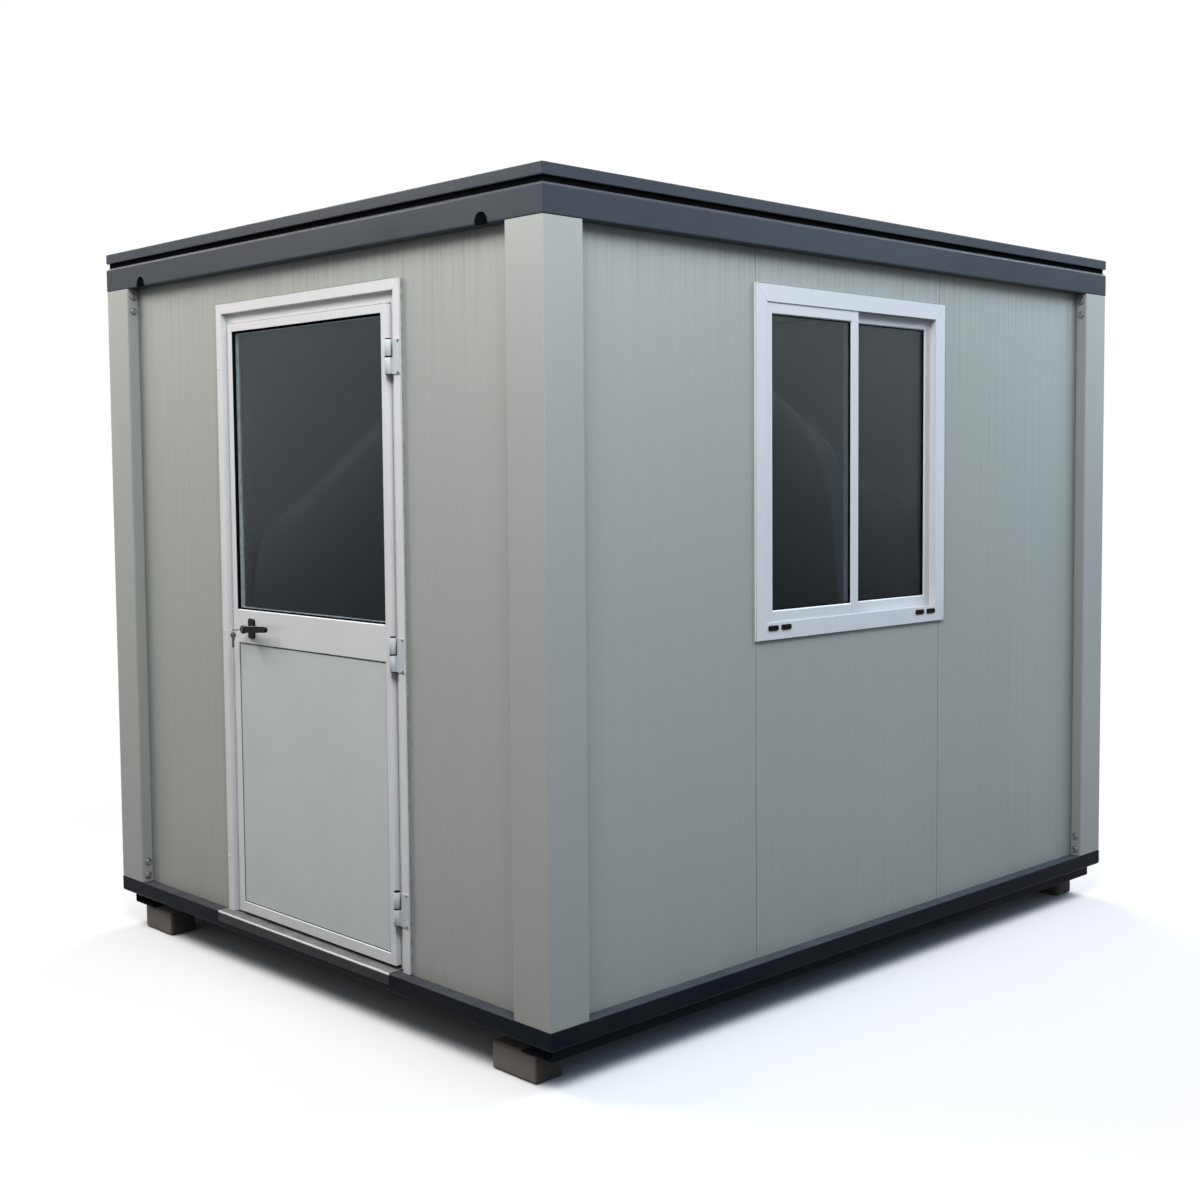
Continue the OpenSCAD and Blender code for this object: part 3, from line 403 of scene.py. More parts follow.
def rubber(name, shade):
    """Soft seal with a dull, slightly uneven face."""
    f = Finish(name, shade, 0.7, Specular_IOR_Level=0.0)
    f.shift_shade(f.span(f.grain(50, 3), 0.4, 0.8), 0.6)
    f.relief(f.grain(700), 0.05)
    return f


def concrete(name, shade):
    """Cast block: cement skin with pores and sand grain, its foot dark, and its ends darker with
    painted shade.
    """
    f = Finish(name, shade, 0.85)
    cloud = f.grain(11, 5, rough=0.65)
    sand = f.grain(260, 4, rough=0.7)
    pores = f.add("ShaderNodeTexVoronoi", {"Vector": f.place, "Scale": 85.0}).outputs["Distance"]
    holes = f.span(pores, 0.08, 0.2, 1, 0)
    f.shift_shade(f.span(cloud, 0.35, 0.75, 0, 0.55), 0.55)
    f.stain(f.span(sand, 0.55, 0.75, 0, 0.35), linear(150, 145, 136))
    f.shift_shade(f.both(holes, 0.8), 0.35)
    f.shift_shade(f.span(f.z, 0, 0.03, 0.5, 0), 0.5)
    # Faces that look along X are painted darker as the shade under the cabin.
    painted_shade_on_ends = f.calc("ABSOLUTE", f.normal()[0])
    f.shift_shade(f.span(painted_shade_on_ends, 0.4, 0.8, 0, 1), 0.3)
    f.relief(sand, 0.5)
    f.relief(holes, -1.2)
    f.relief(cloud, 1.5)
    return f


def floor_board(name, shade):
    """Coated ply deck with sheet joints, foot marks and grit."""
    f = Finish(name, shade, 0.5)
    grain = f.grain(1, 5, (90, 3, 3), 0.65)
    f.shift_shade(f.span(grain, 0.4, 0.75, 0, 0.5), 0.6)
    f.stain(f.span(f.grain(2.4, 5, rough=0.7), 0.45, 0.75, 0, 0.3), linear(140, 134, 124))
    across = f.calc("PINGPONG", f.calc("ADD", f.y, 10.0), 0.625)
    joint = f.span(across, 0, 2 * MM, 1, 0)
    f.shift_shade(joint, 0.25)
    f.rough(grain, 0.4, 0.65)
    f.relief(joint, -1.0)
    f.relief(grain, 0.15)
    return f


def glazing(name, shade, low, high):
    """Tinted float glass with a trace of dust; its IOR rises from the foot to the head, a painted
    reflection that brightens the upper panes.
    """
    tint = (0.5, 0.85, 1, 1)
    f = Finish(name, shade, 0.0, Transmission_Weight=1.0, Specular_Tint=tint, Alpha=0.87)
    # The rising IOR paints a stronger reflection towards the head of the panes.
    f.set("IOR", f.span(f.z, FOOT + 1.1, FOOT + 2, low, high))
    f.rough(f.span(f.grain(2.5, 4, rough=0.6), 0.45, 0.8), 0.0, 0.04)
    f.relief(f.grain(0.9, 1), 0.15)
    return f


# ---- Shapes ----


def facing(place, out):
    """A frame at a place, in millimetres, whose local Z looks out along a direction."""
    turn = Vector(out).to_track_quat("Z", "Y").to_matrix().to_4x4()
    return Matrix.Translation(Vector(place)) @ turn


def turns(steps):
    """The angles of the steps of a full turn."""
    return [2 * math.pi * k / steps for k in range(steps)]


def spoke(radius, angle, height=0.0):
    """A point at a radius, an angle and a height over the local XY plane."""
    return Vector((radius * math.cos(angle), radius * math.sin(angle), height))


def round_ring(radius, height):
    """A circle of points at a height over the local XY plane."""
    return [spoke(radius, angle, height) for angle in turns(RING)]


def rect_ring(width, depth, height, corner, steps=4):
    """A rectangle of points with round corners at a height over the local XY plane."""
    points = []
    for k, (sx, sy) in enumerate(((1, 1), (-1, 1), (-1, -1), (1, -1))):
        middle = Vector((sx * (width / 2 - corner), sy * (depth / 2 - corner), height))
        for i in range(steps + 1):
            angle = k * math.pi / 2 + i * math.pi / 2 / steps
            points.append(middle + corner * spoke(1, angle))
    return points


def hex_ring(flats, height):
    """The outline of a hexagon, given across its flats, at a height over the local XY plane."""
    points, steps = [], RING // 6
    for k in range(6):
        a, b = [flats / math.sqrt(3) * spoke(1, turn * math.pi / 3) for turn in (k, k + 1)]
        points += [a.lerp(b, i / steps) + Vector((0, 0, height)) for i in range(steps)]
    return points


def cross_ring(arm, height):
    """The outline of a cross recess at a height over the local XY plane."""
    reach = [arm, 1.03 * arm, 0.53 * arm, 0.38 * arm, 0.53 * arm, 1.03 * arm]
    return [spoke(reach[k % 6], angle, height) for k, angle in enumerate(turns(RING))]


class Shape:
    """A small fitting under construction, in millimetres, gathered one solid at a time."""

    def __init__(self):
        self.points = []
        self.faces = []

    def loft(self, rings, place=None, ring_shut=False):
        """Skins rings of points, and closes its two ends or joins the last ring to the first."""
        start, count = len(self.points), len(rings[0])
        for ring in rings:
            self.points += [place @ point if place else Vector(point) for point in ring]
        for i in range(len(rings) if ring_shut else len(rings) - 1):
            low = start + i * count
            high = start + (i + 1) % len(rings) * count
            for j in range(count):
                k = (j + 1) % count
                self.faces.append((low + j, low + k, high + k, high + j))
        if not ring_shut:
            self.faces.append(tuple(range(start + count - 1, start - 1, -1)))
            last = start + (len(rings) - 1) * count
            self.faces.append(tuple(range(last, last + count)))

    def turned(self, profile, place):
        """A turned solid from its radius and height at each step."""
        self.loft([round_ring(radius, height) for radius, height in profile], place)

    def block(self, low, high, edge=0.3):
        """A block with sloped edges between two corners."""
        low, high = Vector(low), Vector(high)
        wide, deep, tall = high - low
        middle = (low + high) / 2
        steps = [(2 * edge, 0), (0, edge), (0, tall - edge), (2 * edge, tall)]
        rings = [rect_ring(wide - less, deep - less, z, edge, 1) for less, z in steps]
        self.loft(rings, Matrix.Translation((middle.x, middle.y, low.z)))

    def strip(self, section, start, end, across, out):
        """A strip with its section given as (across, out) steps, mitred at both ends."""
        start, end = Vector(start), Vector(end)
        along = (end - start).normalized()
        across, out = Vector(across), Vector(out)
        rings = []
        for place, mitre in ((start, 1), (end, -1)):
            rings.append([place + a * across + o * out + mitre * a * along for a, o in section])
        self.loft(rings)

    def surround(self, section, corner, across, width, height, out, foot=None):
        """A mitred strip round an upright opening, from its lower corner; the foot may differ."""
        corner, across, up = Vector(corner), Vector(across), Vector((0, 0, 1))
        top = corner + height * up
        ends = [corner, corner + width * across, top + width * across, top]
        for i, inward in enumerate((up, -across, -up, across)):
            outline = foot if foot and i == 0 else section
            self.strip(outline, ends[i], ends[(i + 1) % 4], inward, out)

    def hex_bolt(self, place, flats, washer):
        """A hexagon head with its chamfer and a dished top, on a washer."""
        rim = washer / 2
        self.turned([(rim - 0.4, 0), (rim, 0.4), (rim, 1.8), (rim - 0.5, 2.2)], place)
        rings = [hex_ring(flats - 0.5, 2.1), hex_ring(flats, 2.5), hex_ring(flats, 8.3)]
        rings += [round_ring(r * flats, z) for r, z in ((0.455, 9.6), (0.27, 9.6), (0.24, 9.1))]
        self.loft(rings, place)

    def pan_screw(self, place, head):
        """A domed head with a cross recess."""
        r = head / 2
        dome = [(1, 0), (1, 0.15), (0.93, 0.35), (0.75, 0.5), (0.6, 0.57)]
        rings = [round_ring(radius * r, height * r) for radius, height in dome]
        rings += [cross_ring(0.52 * r, 0.58 * r), cross_ring(0.34 * r, 0.12 * r)]
        self.loft(rings, place)

    def tube(self, path, radius, ring_shut=False):
        """A round bar along a path of points."""
        path = [Vector(point) for point in path]
        count = len(path)
        rings = []
        side = None
        for i, point in enumerate(path):
            ahead = path[(i + 1) % count] if ring_shut or i < count - 1 else point
            behind = path[i - 1] if ring_shut or i else point
            along = (ahead - behind).normalized()
            side = side - side.project(along) if side else along.orthogonal()
            side.normalize()
            other = along.cross(side)
            rays = [math.cos(a) * side + math.sin(a) * other for a in turns(8)]
            rings.append([point + radius * ray for ray in rays])
        self.loft(rings, ring_shut=ring_shut)

    def take(self, other, place):
        """Adds the solids of another shape, moved to a place."""
        start = len(self.points)
        self.points += [place @ point for point in other.points]
        self.faces += [tuple(start + i for i in face) for face in other.faces]

    def piece(self, name, finish, body, slot):
        """Makes the object, which rides on a body, with its folds over 32 degrees crisp."""
        mesh = bpy.data.meshes.new(name)
        mesh.from_pydata([point * MM for point in self.points], [], self.faces)
        work = bmesh.new()
        work.from_mesh(mesh)
        bmesh.ops.recalc_face_normals(work, faces=work.faces)
        for face in work.faces:
            face.smooth = True
        for edge in work.edges:
            edge.smooth = edge.calc_face_angle(math.pi) < math.radians(32)
        work.to_mesh(mesh)
        work.free()
        mesh.materials.append(finish.material)
        thing = bpy.data.objects.new(name, mesh)
        bpy.context.scene.collection.objects.link(thing)
        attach(thing, body)


def corners(node):
    """A node's lowest and highest corners at rest, in millimetres."""
    low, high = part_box(node)
    return low / MM, high / MM


def hinge_axis():
    """A point on the axis of the door's hinges, in millimetres."""
    side, front = corners("hinge_door_parts")[1].x, corners("hinge_door_parts")[0].y
    return Vector((side - HINGE_BARREL, front + HINGE_BARREL, 0))


# ---- Operators ----


class OFFICE_OT_paint(Operator):
    """Gives every CAD piece its finish"""

    bl_idname = "office.paint"
    bl_label = "Paint"

    def execute(self, context):
        c = context.scene.office_colours
        wear(WALLS, coated_sheet("Coated Wall Sheet", c, c.wall))
        wear(POSTS, coated_sheet("Post Paint", c, c.post, 0.3, 0.32, 0))
        wear(ROOF_BEAMS + ["roof_edge_trim"], steel_paint("Roof Paint", c, c.roof, 0.34, 0.45, 0.1))
        wear(BASE_BEAMS + RUNNERS, steel_paint("Base Paint", c, c.base, 0.4, 0.5, 0.5, 0.03))
        wear(["floor_joists"], steel_paint("Joist Paint", c, c.base, 0.5, 0.2))
        wear(PROFILES, white_coating("White Coating", c.white))
        wear(HINGES, white_coating("Hinge Paint", c.hinge, 0.5))
        wear(["door_lower_panel"], white_coating("Door Panel Coating", c.infill, 0.38))
        wear(["roof_panels"], coated_sheet("Roof Sheet", c, c.roof_sheet, 0.5, 0.45))
        wear(["door_sill"], worn_metal("Bare Sill Metal", c, c.bare))
        handle = moulded("Black Handle", c.black, 0.26)
        # The handle's top faces are painted paler as a painted sheen.
        handle.stain(handle.upward(0.6, 0.9), linear(132, 134, 137))
        wear(["handle_plates", "door_lever"], handle)
        wear(["support_blocks"], concrete("Concrete", c.block))
        wear(["floor_deck"], floor_board("Floor Board", c.board))
        # The two IORs set how much stronger the painted reflection is at the head.
        wear(["door_glass"], glazing("Door Glass", c.glass, 1.12, 1.26))
        wear(["window_panes"], glazing("Window Glass", c.glass, 1.15, 1.36))
        return {"FINISHED"}


class OFFICE_OT_edges(Operator):
    """Takes the sharp edges off profiles, hinges, door panel, handle and sill"""

    bl_idname = "office.edges"
    bl_label = "Edges"

    def execute(self, context):
        width = context.scene.office_sizes.edge
        others = ["door_lower_panel", "door_sill", "door_lever", "handle_plates"]
        for name in PROFILES + HINGES + others:
            thing = NODES[name]
            weld = thing.modifiers.new("Weld", "WELD")
            weld.merge_threshold = 0.001 * MM
            edge = thing.modifiers.new("Edge", "BEVEL")
            edge.width = width
            edge.segments = 2
            edge.limit_method = "ANGLE"
            edge.angle_limit = math.radians(50)
            edge.use_clamp_overlap = False
        return {"FINISHED"}


class OFFICE_OT_post_bolts(Operator):
    """Bolts the posts to the base and roof beams"""

    bl_idname = "office.post_bolts"
    bl_label = "Post Bolts"

    def execute(self, context):
        sizes = context.scene.office_sizes
        finish = plated("Zinc Plating", context.scene.office_colours.zinc)
        foot, head = FOOT / MM, HEAD / MM
        inset = 23  # from the post's outer face to its bolts
        for name in POSTS:
            low, high = corners(name)
            (x_in, x_out), (y_in, y_out) = [sorted((low[i], high[i]), key=abs) for i in (0, 1)]
            x_side, y_side = math.copysign(1, x_out), math.copysign(1, y_out)
            bolts = Shape()
            for z in (foot + 25, foot + 78, head - 84, head - 30):
                ends = [
                    ((x_in, y_out - y_side * inset, z), (-x_side, 0, 0)),
                    ((x_out - x_side * inset, y_in, z), (0, -y_side, 0)),
                ]
                for place, out in ends:
                    bolts.hex_bolt(facing(place, out), sizes.bolt_flats / MM, sizes.washer / MM)
            bolts.piece(name + "_bolts", finish, "cabin", "post_steel")
        return {"FINISHED"}


class OFFICE_OT_roof_screws(Operator):
    """Screws the roof panels down on the crests of their ribs"""

    bl_idname = "office.roof_screws"
    bl_label = "Roof Screws"

    def execute(self, context):
        c = context.scene.office_colours
        heads, washers = Shape(), Shape()
        top = corners("roof_panels")[1].z
        first_rib, pitch = -1375, 250
        for i in range(12):
            for x in (-1165, -390, 390, 1165):
                place = facing((x, first_rib + pitch * i, top), (0, 0, 1))
                washers.turned([(9, 0), (9, 0.8), (8.2, 2.2), (6, 2.8)], place)
                heads.turned([(7.2, 2.3), (7.6, 2.7), (7.2, 3.4), (5.5, 3.8)], place)
                rings = [hex_ring(8, 3.5), hex_ring(8, 7.4), round_ring(3.6, 8.2)]
                heads.loft(rings, place)
        heads.piece("roof_screw_heads", plated("Roof Screw Plating", c.zinc), "cabin", "roof_steel")
        seal = rubber("Roof Washer Rubber", c.seal)
        washers.piece("roof_screw_washers", seal, "cabin", "roof_steel")
        return {"FINISHED"}


class OFFICE_OT_roof_seals(Operator):
    """Seals the groove under the edge trim and plugs the drain notches of the beams"""

    bl_idname = "office.roof_seals"
    bl_label = "Roof Seals"

    def execute(self, context):
        low, high = corners("roof_edge_trim")
        floor = corners("front_roof_beam")[1].z
        seal = Shape()
        section = [(9, 0.1), (9, 16.9), (19.9, 16.9), (19.9, 0.1)]
        ends = [(low.x, low.y), (high.x, low.y), (high.x, high.y), (low.x, high.y)]
        for i, inward in enumerate(((0, 1, 0), (-1, 0, 0), (0, -1, 0), (1, 0, 0))):
            start, end = (*ends[i], floor), (*ends[(i + 1) % 4], floor)
            seal.strip(section, start, end, inward, (0, 0, 1))
        near, far = 3.9, 6  # from the beam's face to the two faces of a plug
        half, foot = 31, HEAD / MM + 0.2
        for x in (NOTCH_INSET - high.x, high.x - NOTCH_INSET):
            for front, back in ((low.y + near, low.y + far), (high.y - far, high.y - near)):
                seal.block((x - half, front, foot), (x + half, back, foot + 36.8))
        black = rubber("Roof Seal", context.scene.office_colours.seal)
        seal.piece("roof_seals", black, "cabin", "roof_steel")
        return {"FINISHED"}


class OFFICE_OT_frame_screws(Operator):
    """Screws the door frame and the hinge plates down"""

    bl_idname = "office.frame_screws"
    bl_label = "Frame Screws"

    def execute(self, context):
        head = context.scene.office_sizes.screw / MM
        zinc = context.scene.office_colours.zinc
        bright = plated("Bright Screws", [1.9 * v for v in zinc])
        dull = plated("Dull Screws", [0.45 * v for v in zinc])
        low, high = corners("door_frame")
        screws = Shape()
        for z in (200, 1004, 1017, 1950):
            screws.pan_screw(facing((low.x + 11, low.y, FOOT / MM + z), (0, -1, 0)), head)
        screws.piece("frame_screws", bright, "cabin", "white_profile")
        screws = Shape()
        axis = hinge_axis()
        for middle in HINGE_HEIGHTS:
            for z in (middle - 50, middle + 48):
                screws.pan_screw(facing((high.x - 7.5, axis.y, z), (0, -1, 0)), head)
        screws.piece("hinge_screws", dull, "cabin", "hinge_metal")
        return {"FINISHED"}


class OFFICE_OT_hinge_caps(Operator):
    """Adds the caps, washers and pin ends of the hinges, the black pin ends below also a painted
    shadow
    """

    bl_idname = "office.hinge_caps"
    bl_label = "Hinge Caps"

    def execute(self, context):
        black = moulded("Black Hinge Caps", context.scene.office_colours.black, 0.5)
        caps, washers = Shape(), Shape()
        axis = hinge_axis()
        for middle in HINGE_HEIGHTS:
            top = facing((axis.x, axis.y, middle + HINGE_HALF), (0, 0, 1))
            caps.turned([(9.6, -0.5), (9.6, 2.2), (9.1, 3), (7, 3.6), (3, 3.7)], top)
            for half, out in ((caps, 1), (washers, -1)):
                gap = facing((axis.x, axis.y, middle), (0, 0, out))
                half.turned([(11.1, 0.05), (11.1, 1.9), (10.4, 2.5)], gap)
            # The black pin end under each hinge is a pin end, and also a painted shadow of the
            # barrel.
            end = facing((axis.x, axis.y, middle - HINGE_HALF), (0, 0, -1))
            washers.turned([(9.2, -0.5), (9.2, 1.2), (8.4, 2), (5, 2.4)], end)
        caps.piece("hinge_caps", black, "door", "black_handle")
        washers.piece("hinge_washers", black, "cabin", "black_handle")
        return {"FINISHED"}


class OFFICE_OT_door_seals(Operator):
    """Adds the panes' gaskets, the seals round the leaf and the foam behind the frame's lip"""

    bl_idname = "office.door_seals"
    bl_label = "Door Seals"

    def execute(self, context):
        c = context.scene.office_colours
        black, grey = rubber("Black Gasket", c.seal), rubber("Grey Seal", c.grey_seal)
        self.gaskets(c, black, context.scene.office_sizes.gasket / MM)
        self.foam(rubber("Sealing Foam", c.foam))
        self.leaf_seals(grey)
        return {"FINISHED"}

    def gaskets(self, colours, black, width):
        """Gaskets on both sides of glass and lower panel, and the bars between the panes."""
        names = ("door_leaf", "door_glass", "door_lower_panel")
        leaf, glass, panel = [corners(name) for name in names]
        left, right = leaf[0].x + LEAF_JAMB, leaf[1].x - LEAF_JAMB
        rise = glass[0].y - leaf[0].y
        root, heel = [(0.05, 0.05), (width, 0.05), (width, 1.6), (1.0, rise - 4.4)], rise - 4.95
        lip = [*root, (-3.2, rise - 0.6), (-3.9, rise - 1.0), (0.05, heel)]
        low_lip = [*root, (-1.4, rise - 2.4), (-2.1, rise - 2.8), (0.05, heel)]
        line = [(0.02, 0.02), (2.4, 0.02), (2.2, 0.9), (0.02, 1.0)]
        gaskets = Shape()
        x, wide = (1, 0, 0), right - left
        for (low, high), section, foot in ((glass, lip, low_lip), (panel, line, line)):
            bottom, height = low.z + 8, high.z - low.z - 15
            gaskets.surround(section, (left, low.y, bottom), x, wide, height, (0, -1, 0), foot)
            gaskets.surround(line, (left, high.y, bottom), x, wide, height, (0, 1, 0))
        gaskets.piece("door_gaskets", black, "door", "black_handle")
        spacer = [(0.3, -0.8), (4.5, -0.8), (4.5, -19.2), (0.3, -19.2)]
        bars = Shape()
        low, high = glass
        corner, height = (left, low.y, low.z + 8), high.z - low.z - 15
        bars.surround(spacer, corner, x, wide, height, (0, -1, 0))
        pale = rubber("Spacer", colours.spacer)
        bars.piece("glass_spacers", pale, "door", "white_profile")

    def foam(self, finish):
        """Foam in the groove behind the outer lip of the frame."""
        low, high = corners("door_frame")
        near, far = low.y + 4.1, corners("front_wall_left")[0].y - 0.1
        outer, inner = 0.5, 3.9  # from the frame's edge to the foam's two faces
        foot, top = low.z + 1, high.z - outer
        foam = Shape()
        foam.block((low.x + outer, near, foot), (low.x + inner, far, top))
        foam.block((high.x - inner, near, foot), (high.x - outer, far, top))
        foam.block((low.x + inner, near, high.z - inner), (high.x - inner, far, top))
        foam.piece("frame_foam", finish, "cabin", "black_handle")

    def leaf_seals(self, grey):
        """Lips in the gap beside and over the leaf, and hollow bulbs on the stop."""
        low, high = corners("door_leaf")
        gap, reach = 6, 3.4
        front, back = low.y + 18, low.y + 27
        start, top = FOOT / MM + 3, high.z + gap
        seals = Shape()
        seals.block((low.x - gap, front, start), (low.x - gap + reach, back, top), 0.8)
        seals.block((high.x + gap - reach, front, start), (high.x + gap, back, top), 0.8)
        seals.block((low.x, front, top - reach), (high.x, back, top), 0.8)
        left, right, head = low.x + 6, high.x - 6, high.z - 6
        bulb = [(left, start), (left, head), (right, head), (right, start)]
        seals.tube([(x, high.y + 2.9, z) for x, z in bulb], 2.2)
        seals.piece("leaf_seals", grey, "cabin", "black_handle")


class OFFICE_OT_window_trim(Operator):
    """Adds the sash gaskets and the covers over the frame's drain slots"""

    bl_idname = "office.window_trim"
    bl_label = "Window Trim"

    def execute(self, context):
        c = context.scene.office_colours
        width = context.scene.office_sizes.gasket / MM
        section = [(0.02, 0.02), (width, 0.02), (width, 1.2), (0.9, 3.6), (0.02, 3.6)]
        gaskets = Shape()
        side, bar = 38, 46  # from a sash's side and its foot to the pane
        for name in ("outer_sash", "inner_sash"):
            low, high = corners(name)
            span, height = high.y - low.y - 2 * side, high.z - low.z - 2 * bar
            for x, out in ((high.x - 8, 1), (low.x + 8, -1)):
                corner = (x, low.y + side, low.z + bar)
                gaskets.surround(section, corner, (0, 1, 0), span, height, (out, 0, 0))
        gaskets.piece("sash_gaskets", rubber("Sash Gasket", c.seal), "cabin", "black_handle")

        low, high = corners("window_frame")
        caps = Shape()
        for y in (low.y + 82, low.y + 146, high.y - 149, high.y - 82):
            place = facing((high.x, y, low.z + 38), (1, 0, 0))
            shell = [(49, 17, 0, 5), (49, 17, 2, 5), (47.4, 15.4, 3.2, 4.4), (44, 12, 3.6, 3.4)]
            rings = [rect_ring(w, h, z, r) for w, h, z, r in shell]
            rings += [rect_ring(38, 5, 3.6, 2.4), rect_ring(37, 4, 1.6, 1.9)]
            caps.loft(rings, place)
        caps.piece("drain_covers", moulded("Drain Covers", c.black, 0.45), "cabin", "white_profile")
        return {"FINISHED"}


class OFFICE_OT_lock(Operator):
    """Adds the lock's cylinder, face plates and latch, and the two keys on their ring"""

    bl_idname = "office.lock"
    bl_label = "Lock and Keys"

    def execute(self, context):
        c, sizes = context.scene.office_colours, context.scene.office_sizes
        nickel = plated("Nickel", c.nickel)
        low = corners("door_lever")[0]
        axis = Vector((low.x + LEVER_HUB, low.y, low.z + LEVER_HUB))
        self.cylinder(axis, nickel)
        land = self.key_in_lock(axis, sizes.key_bow / MM, nickel)
        steel = plated("Ring Steel", [2.2 * v for v in c.zinc])
        self.hanging_key(axis, land, sizes.key_ring / MM, nickel, steel)
        self.edge_plates(axis, nickel)
        return {"FINISHED"}

    def cylinder(self, axis, nickel):
        """A plug in the face of the lever's hub."""
        lock = Shape()
        face = [(9.4, -1), (9.4, 0.5), (8.9, 1.1), (7.2, 1.3)]
        face += [(6.9, 0.9), (6.3, 0.9), (6.0, 1.4), (3, 1.5)]
        lock.turned(face, facing(axis, (0, -1, 0)))
        lock.piece("lock_cylinder", nickel, "lever", "black_handle")

    def bow(self, key, place, radius, hole, thick, hole_at):
        """A round plate with a hole, each side skinned between the two outlines."""
        edge = [(-0.4, 0), (0, 0.4), (0, thick - 0.4), (-0.4, thick)]
        outer = [round_ring(radius + grow, height) for grow, height in edge]
        shift = Vector((0, hole_at, 0))
        inner = [[p + shift for p in round_ring(hole, z)] for z in (thick, 0)]
        key.loft(outer + inner, place, ring_shut=True)

    def key_in_lock(self, axis, bow, nickel):
        """The key in the lock, its bow level, and the middle of the land beyond its hole."""
        key = Shape()
        reach = axis.y - 11 - bow / 2
        place = Matrix.Translation((axis.x, reach, axis.z - 1))
        self.bow(key, place, bow / 2, 2.5, 2, 2.6 - bow / 2 + 3.4)
        for half, front, back in ((4, 14, 8), (3, 9, 0.5)):
            low = axis - Vector((half, front, 1))
            key.block(low, axis + Vector((half, -back, 1)))
        key.piece("key_in_lock", nickel, "lever", "black_handle")
        return reach - bow / 2 + 1.75

    def hanging_key(self, axis, land, ring, nickel, steel):
        """The ring through the first key, and the second key hanging from it."""
        wire, play = 0.8, 1.15
        middle = ring / 2 - wire
        centre = Vector((axis.x, land, axis.z + 1 - middle + wire + play))
        hoop = [centre + middle * Vector((0, math.sin(a), math.cos(a))) for a in turns(32)]
        loop = Shape()
        loop.tube(hoop, wire, ring_shut=True)
        loop.piece("key_ring", steel, "door", "black_handle")
        keys = Shape()
        low = centre.z - middle
        turn = Matrix.Rotation(math.radians(35), 4, "Z")
        hang = Matrix.Translation((centre.x, centre.y, low)) @ turn
        stand = hang @ Matrix(((1, 0, 0, 0), (0, 0, 1, -0.9), (0, 1, 0, -6.2), (0, 0, 0, 1)))
        self.bow(keys, stand, 10.5, 2.4, 1.8, 5.6)
        blade = Shape()
        blade.block((-5, -0.9, -22), (5, 0.9, -15))
        blade.block((-4.6, -0.9, -49), (2.4, 0.9, -20))
        for i, cut in enumerate((4.4, 3.2, 4.6, 3.6, 4.2)):
            blade.block((2, -0.9, -26.2 - 5 * i), (cut, 0.9, -22 - 5 * i), 0.2)
        keys.take(blade, hang)
        keys.piece("hanging_key", nickel, "door", "black_handle")

    def edge_plates(self, axis, nickel):
        """Face plate and latch on the leaf's edge, and the strike plate on the frame."""
        edge = corners("door_leaf")
        x, back = edge[0].x, edge[1].y
        plates = Shape()
        plates.block((x - 0.7, back - 19, axis.z - 110), (x + 0.1, back - 3, axis.z + 90), 0.2)
        for z in (axis.z - 102, axis.z + 82):
            plates.pan_screw(facing((x - 0.6, back - 11, z), (-1, 0, 0)), 5)
        latch = [(-0.5, -5.5), (-0.5, 4.5), (3.4, 4.5), (3.4, 2.5)]
        outlines = [[(x - a, back - 11 + b, axis.z + z) for a, b in latch] for z in (-9, 9)]
        plates.loft(outlines)
        plates.piece("lock_face_plate", nickel, "door", "black_handle")
        strike = Shape()
        strike.block((x - 6.1, back - 17, axis.z - 60), (x - 5.4, back - 4, axis.z + 60), 0.2)
        strike.piece("strike_plate", nickel, "cabin", "black_handle")


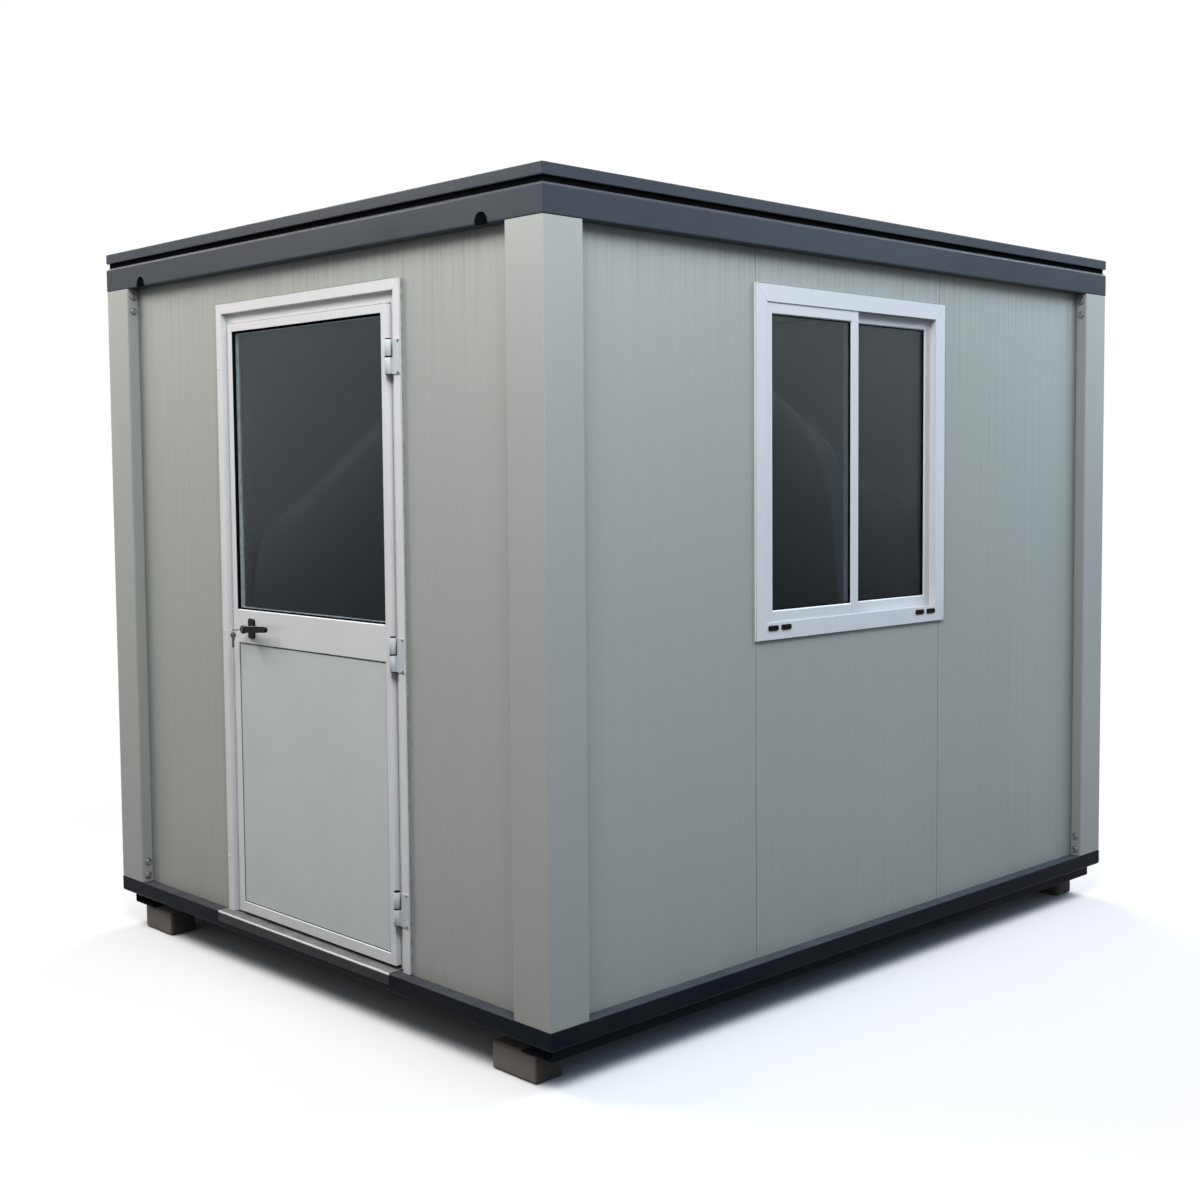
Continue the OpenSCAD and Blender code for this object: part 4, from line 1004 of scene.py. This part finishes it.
class OFFICE_OT_stage(Operator):
    """Adds the camera, floor, surroundings and lamps"""

    bl_idname = "office.stage"
    bl_label = "Stage"

    def execute(self, context):
        scene = context.scene
        settings = scene.office_stage
        scene.view_settings.view_transform = "Standard"
        self.camera(scene, settings)
        self.floor(scene, settings)
        self.world(scene, settings)
        low, high = [Vector(corner) for corner in CAD_BOX]
        warm, rest = settings.tint, settings.lamp_share
        lamps = [
            ("Front Left Lamp", low.x, low.y, warm, rest),
            ("Front Right Lamp", high.x, low.y, -0.3 * warm, 1),
            ("Back Right Lamp", high.x, high.y, -2 * warm, rest),
            ("Back Left Lamp", low.x, high.y, 0, rest),
        ]
        for name, x, y, warmth, share in lamps:
            aim = Vector((x, y, settings.lamp_aim))
            away = Vector((math.copysign(1, x), math.copysign(1, y), 0))
            place = aim + settings.lamp_out * away
            place.z = settings.lamp_height
            tint = [share * strength for strength in (1 + warmth, 1, 1 - warmth)]
            self.lamp(scene, name, place, aim, tint, settings)
        return {"FINISHED"}

    def camera(self, scene, settings):
        lens = bpy.data.cameras.new("Camera")
        lens.sensor_width = 36
        lens.lens = settings.lens
        lens.shift_x, lens.shift_y = settings.shift
        lens.clip_end = 200
        camera = bpy.data.objects.new("Camera", lens)
        camera.location = settings.camera_place
        camera.rotation_euler = settings.camera_turn
        scene.collection.objects.link(camera)
        scene.camera = camera

    def background_seen(self, tree):
        """1 for rays that show the background: from the camera, in gloss and through glass."""
        path = add_node(tree, "ShaderNodeLightPath").outputs
        seen = path["Is Camera Ray"]
        for ray in ("Is Glossy Ray", "Is Transmission Ray"):
            feeds = {0: seen, 1: path[ray]}
            seen = add_node(tree, "ShaderNodeMath", feeds, operation="MAXIMUM").outputs[0]
        return seen

    def floor(self, scene, settings):
        half = settings.floor_size / 2
        mesh = bpy.data.meshes.new("Floor")
        points = [(-half, -half, 0), (half, -half, 0), (half, half, 0), (-half, half, 0)]
        mesh.from_pydata(points, [], [(0, 1, 2, 3)])
        floor = bpy.data.objects.new("Floor", mesh)
        floor.location.z = -0.5 * MM
        scene.collection.objects.link(floor)

        f = Finish("Floor", settings.floor, 0.9, Specular_IOR_Level=0.0)
        mesh.materials.append(f.material)
        f.stain(f.span(f.calc("ADD", f.x, f.y), -1, 3), settings.warm_floor)
        plain = f.add("ShaderNodeEmission", {"Color": (1, 1, 1, 1), "Strength": 1.0})
        bounce = f.add("ShaderNodeBsdfDiffuse", {"Color": (*settings.bounce, 1)})
        away = f.add("ShaderNodeVectorMath", {0: f.place}, operation="LENGTH").outputs["Value"]
        feeds = {"Value": away, "From Min": settings.floor_near, "From Max": settings.floor_far}
        fade = f.add("ShaderNodeMapRange", feeds, interpolation_type="SMOOTHSTEP").outputs[0]
        shown = f.add("ShaderNodeMixShader", {0: fade, 1: f.shader.outputs[0], 2: plain.outputs[0]})
        seen = self.background_seen(f.tree)
        whole = f.add("ShaderNodeMixShader", {0: seen, 1: bounce.outputs[0], 2: shown.outputs[0]})
        feed(f.tree, f.tree.nodes["Material Output"].inputs["Surface"], whole.outputs[0])

    def world(self, scene, settings):
        world = bpy.data.worlds.new("Surroundings")
        scene.world = world
        world.use_nodes = True
        tree = world.node_tree
        place = add_node(tree, "ShaderNodeTexCoord").outputs["Generated"]
        x, y, z = add_node(tree, "ShaderNodeSeparateXYZ", {0: place}).outputs
        across = add_node(tree, "ShaderNodeMath", {0: x, 1: y}, operation="ADD").outputs[0]
        feeds = {"Vector": across, 7: (-1, -1, -1), 8: (1, 1, 1)}
        feeds.update({9: settings.door_sky, 10: settings.window_sky})
        light = add_node(tree, "ShaderNodeMapRange", feeds, data_type="FLOAT_VECTOR")
        feeds = {"Value": z, "From Max": 0.7, "To Min": 0.35, "To Max": 1.2}
        height = add_node(tree, "ShaderNodeMapRange", feeds).outputs[0]
        feeds = {0: light.outputs["Vector"], "Scale": height}
        sky = add_node(tree, "ShaderNodeVectorMath", feeds, operation="SCALE").outputs[0]
        feeds = {"Factor": self.background_seen(tree), 6: sky, 7: (1, 1, 1, 1)}
        shown = add_node(tree, "ShaderNodeMix", feeds, data_type="RGBA").outputs[2]
        feed(tree, tree.nodes["Background"].inputs["Color"], shown)

    def lamp(self, scene, name, place, aim, tint, settings):
        data = bpy.data.lights.new(name, "AREA")
        data.shape = "RECTANGLE"
        data.size, data.size_y = settings.lamp_wide, settings.lamp_high
        data.energy = settings.lamp_power
        data.color = tint
        lamp = bpy.data.objects.new(name, data)
        lamp.location = place
        lamp.rotation_euler = (aim - place).to_track_quat("-Z", "Y").to_euler()
        lamp.visible_camera = False
        scene.collection.objects.link(lamp)


class OFFICE_PT_panel(Panel):
    """Lists the settings and steps"""

    bl_label = "Office Unit"
    bl_idname = "OFFICE_PT_panel"
    bl_space_type = "VIEW_3D"
    bl_region_type = "UI"
    bl_category = "Office Unit"

    def draw(self, context):
        for name, group in SETTINGS.items():
            for setting in group.__annotations__:
                self.layout.prop(getattr(context.scene, name), setting)
        for step in STEPS:
            self.layout.operator(step.bl_idname)


SETTINGS = {
    "office_colours": OfficeColours,
    "office_sizes": OfficeSizes,
    "office_stage": OfficeStage,
}
STEPS = [
    OFFICE_OT_paint,
    OFFICE_OT_edges,
    OFFICE_OT_post_bolts,
    OFFICE_OT_roof_screws,
    OFFICE_OT_roof_seals,
    OFFICE_OT_frame_screws,
    OFFICE_OT_hinge_caps,
    OFFICE_OT_door_seals,
    OFFICE_OT_window_trim,
    OFFICE_OT_lock,
    OFFICE_OT_stage,
]


def register():
    for cls in [*SETTINGS.values(), *STEPS, OFFICE_PT_panel]:
        bpy.utils.register_class(cls)
    for name, group in SETTINGS.items():
        setattr(bpy.types.Scene, name, PointerProperty(type=group))


def unregister():
    for name in SETTINGS:
        delattr(bpy.types.Scene, name)
    for cls in reversed([*SETTINGS.values(), *STEPS, OFFICE_PT_panel]):
        bpy.utils.unregister_class(cls)


def main():
    register()
    bpy.ops.office.paint()
    bpy.ops.office.edges()
    bpy.ops.office.post_bolts()
    bpy.ops.office.roof_screws()
    bpy.ops.office.roof_seals()
    bpy.ops.office.frame_screws()
    bpy.ops.office.hinge_caps()
    bpy.ops.office.door_seals()
    bpy.ops.office.window_trim()
    bpy.ops.office.lock()
    bpy.ops.office.stage()


if __name__ == "__main__":
    main()
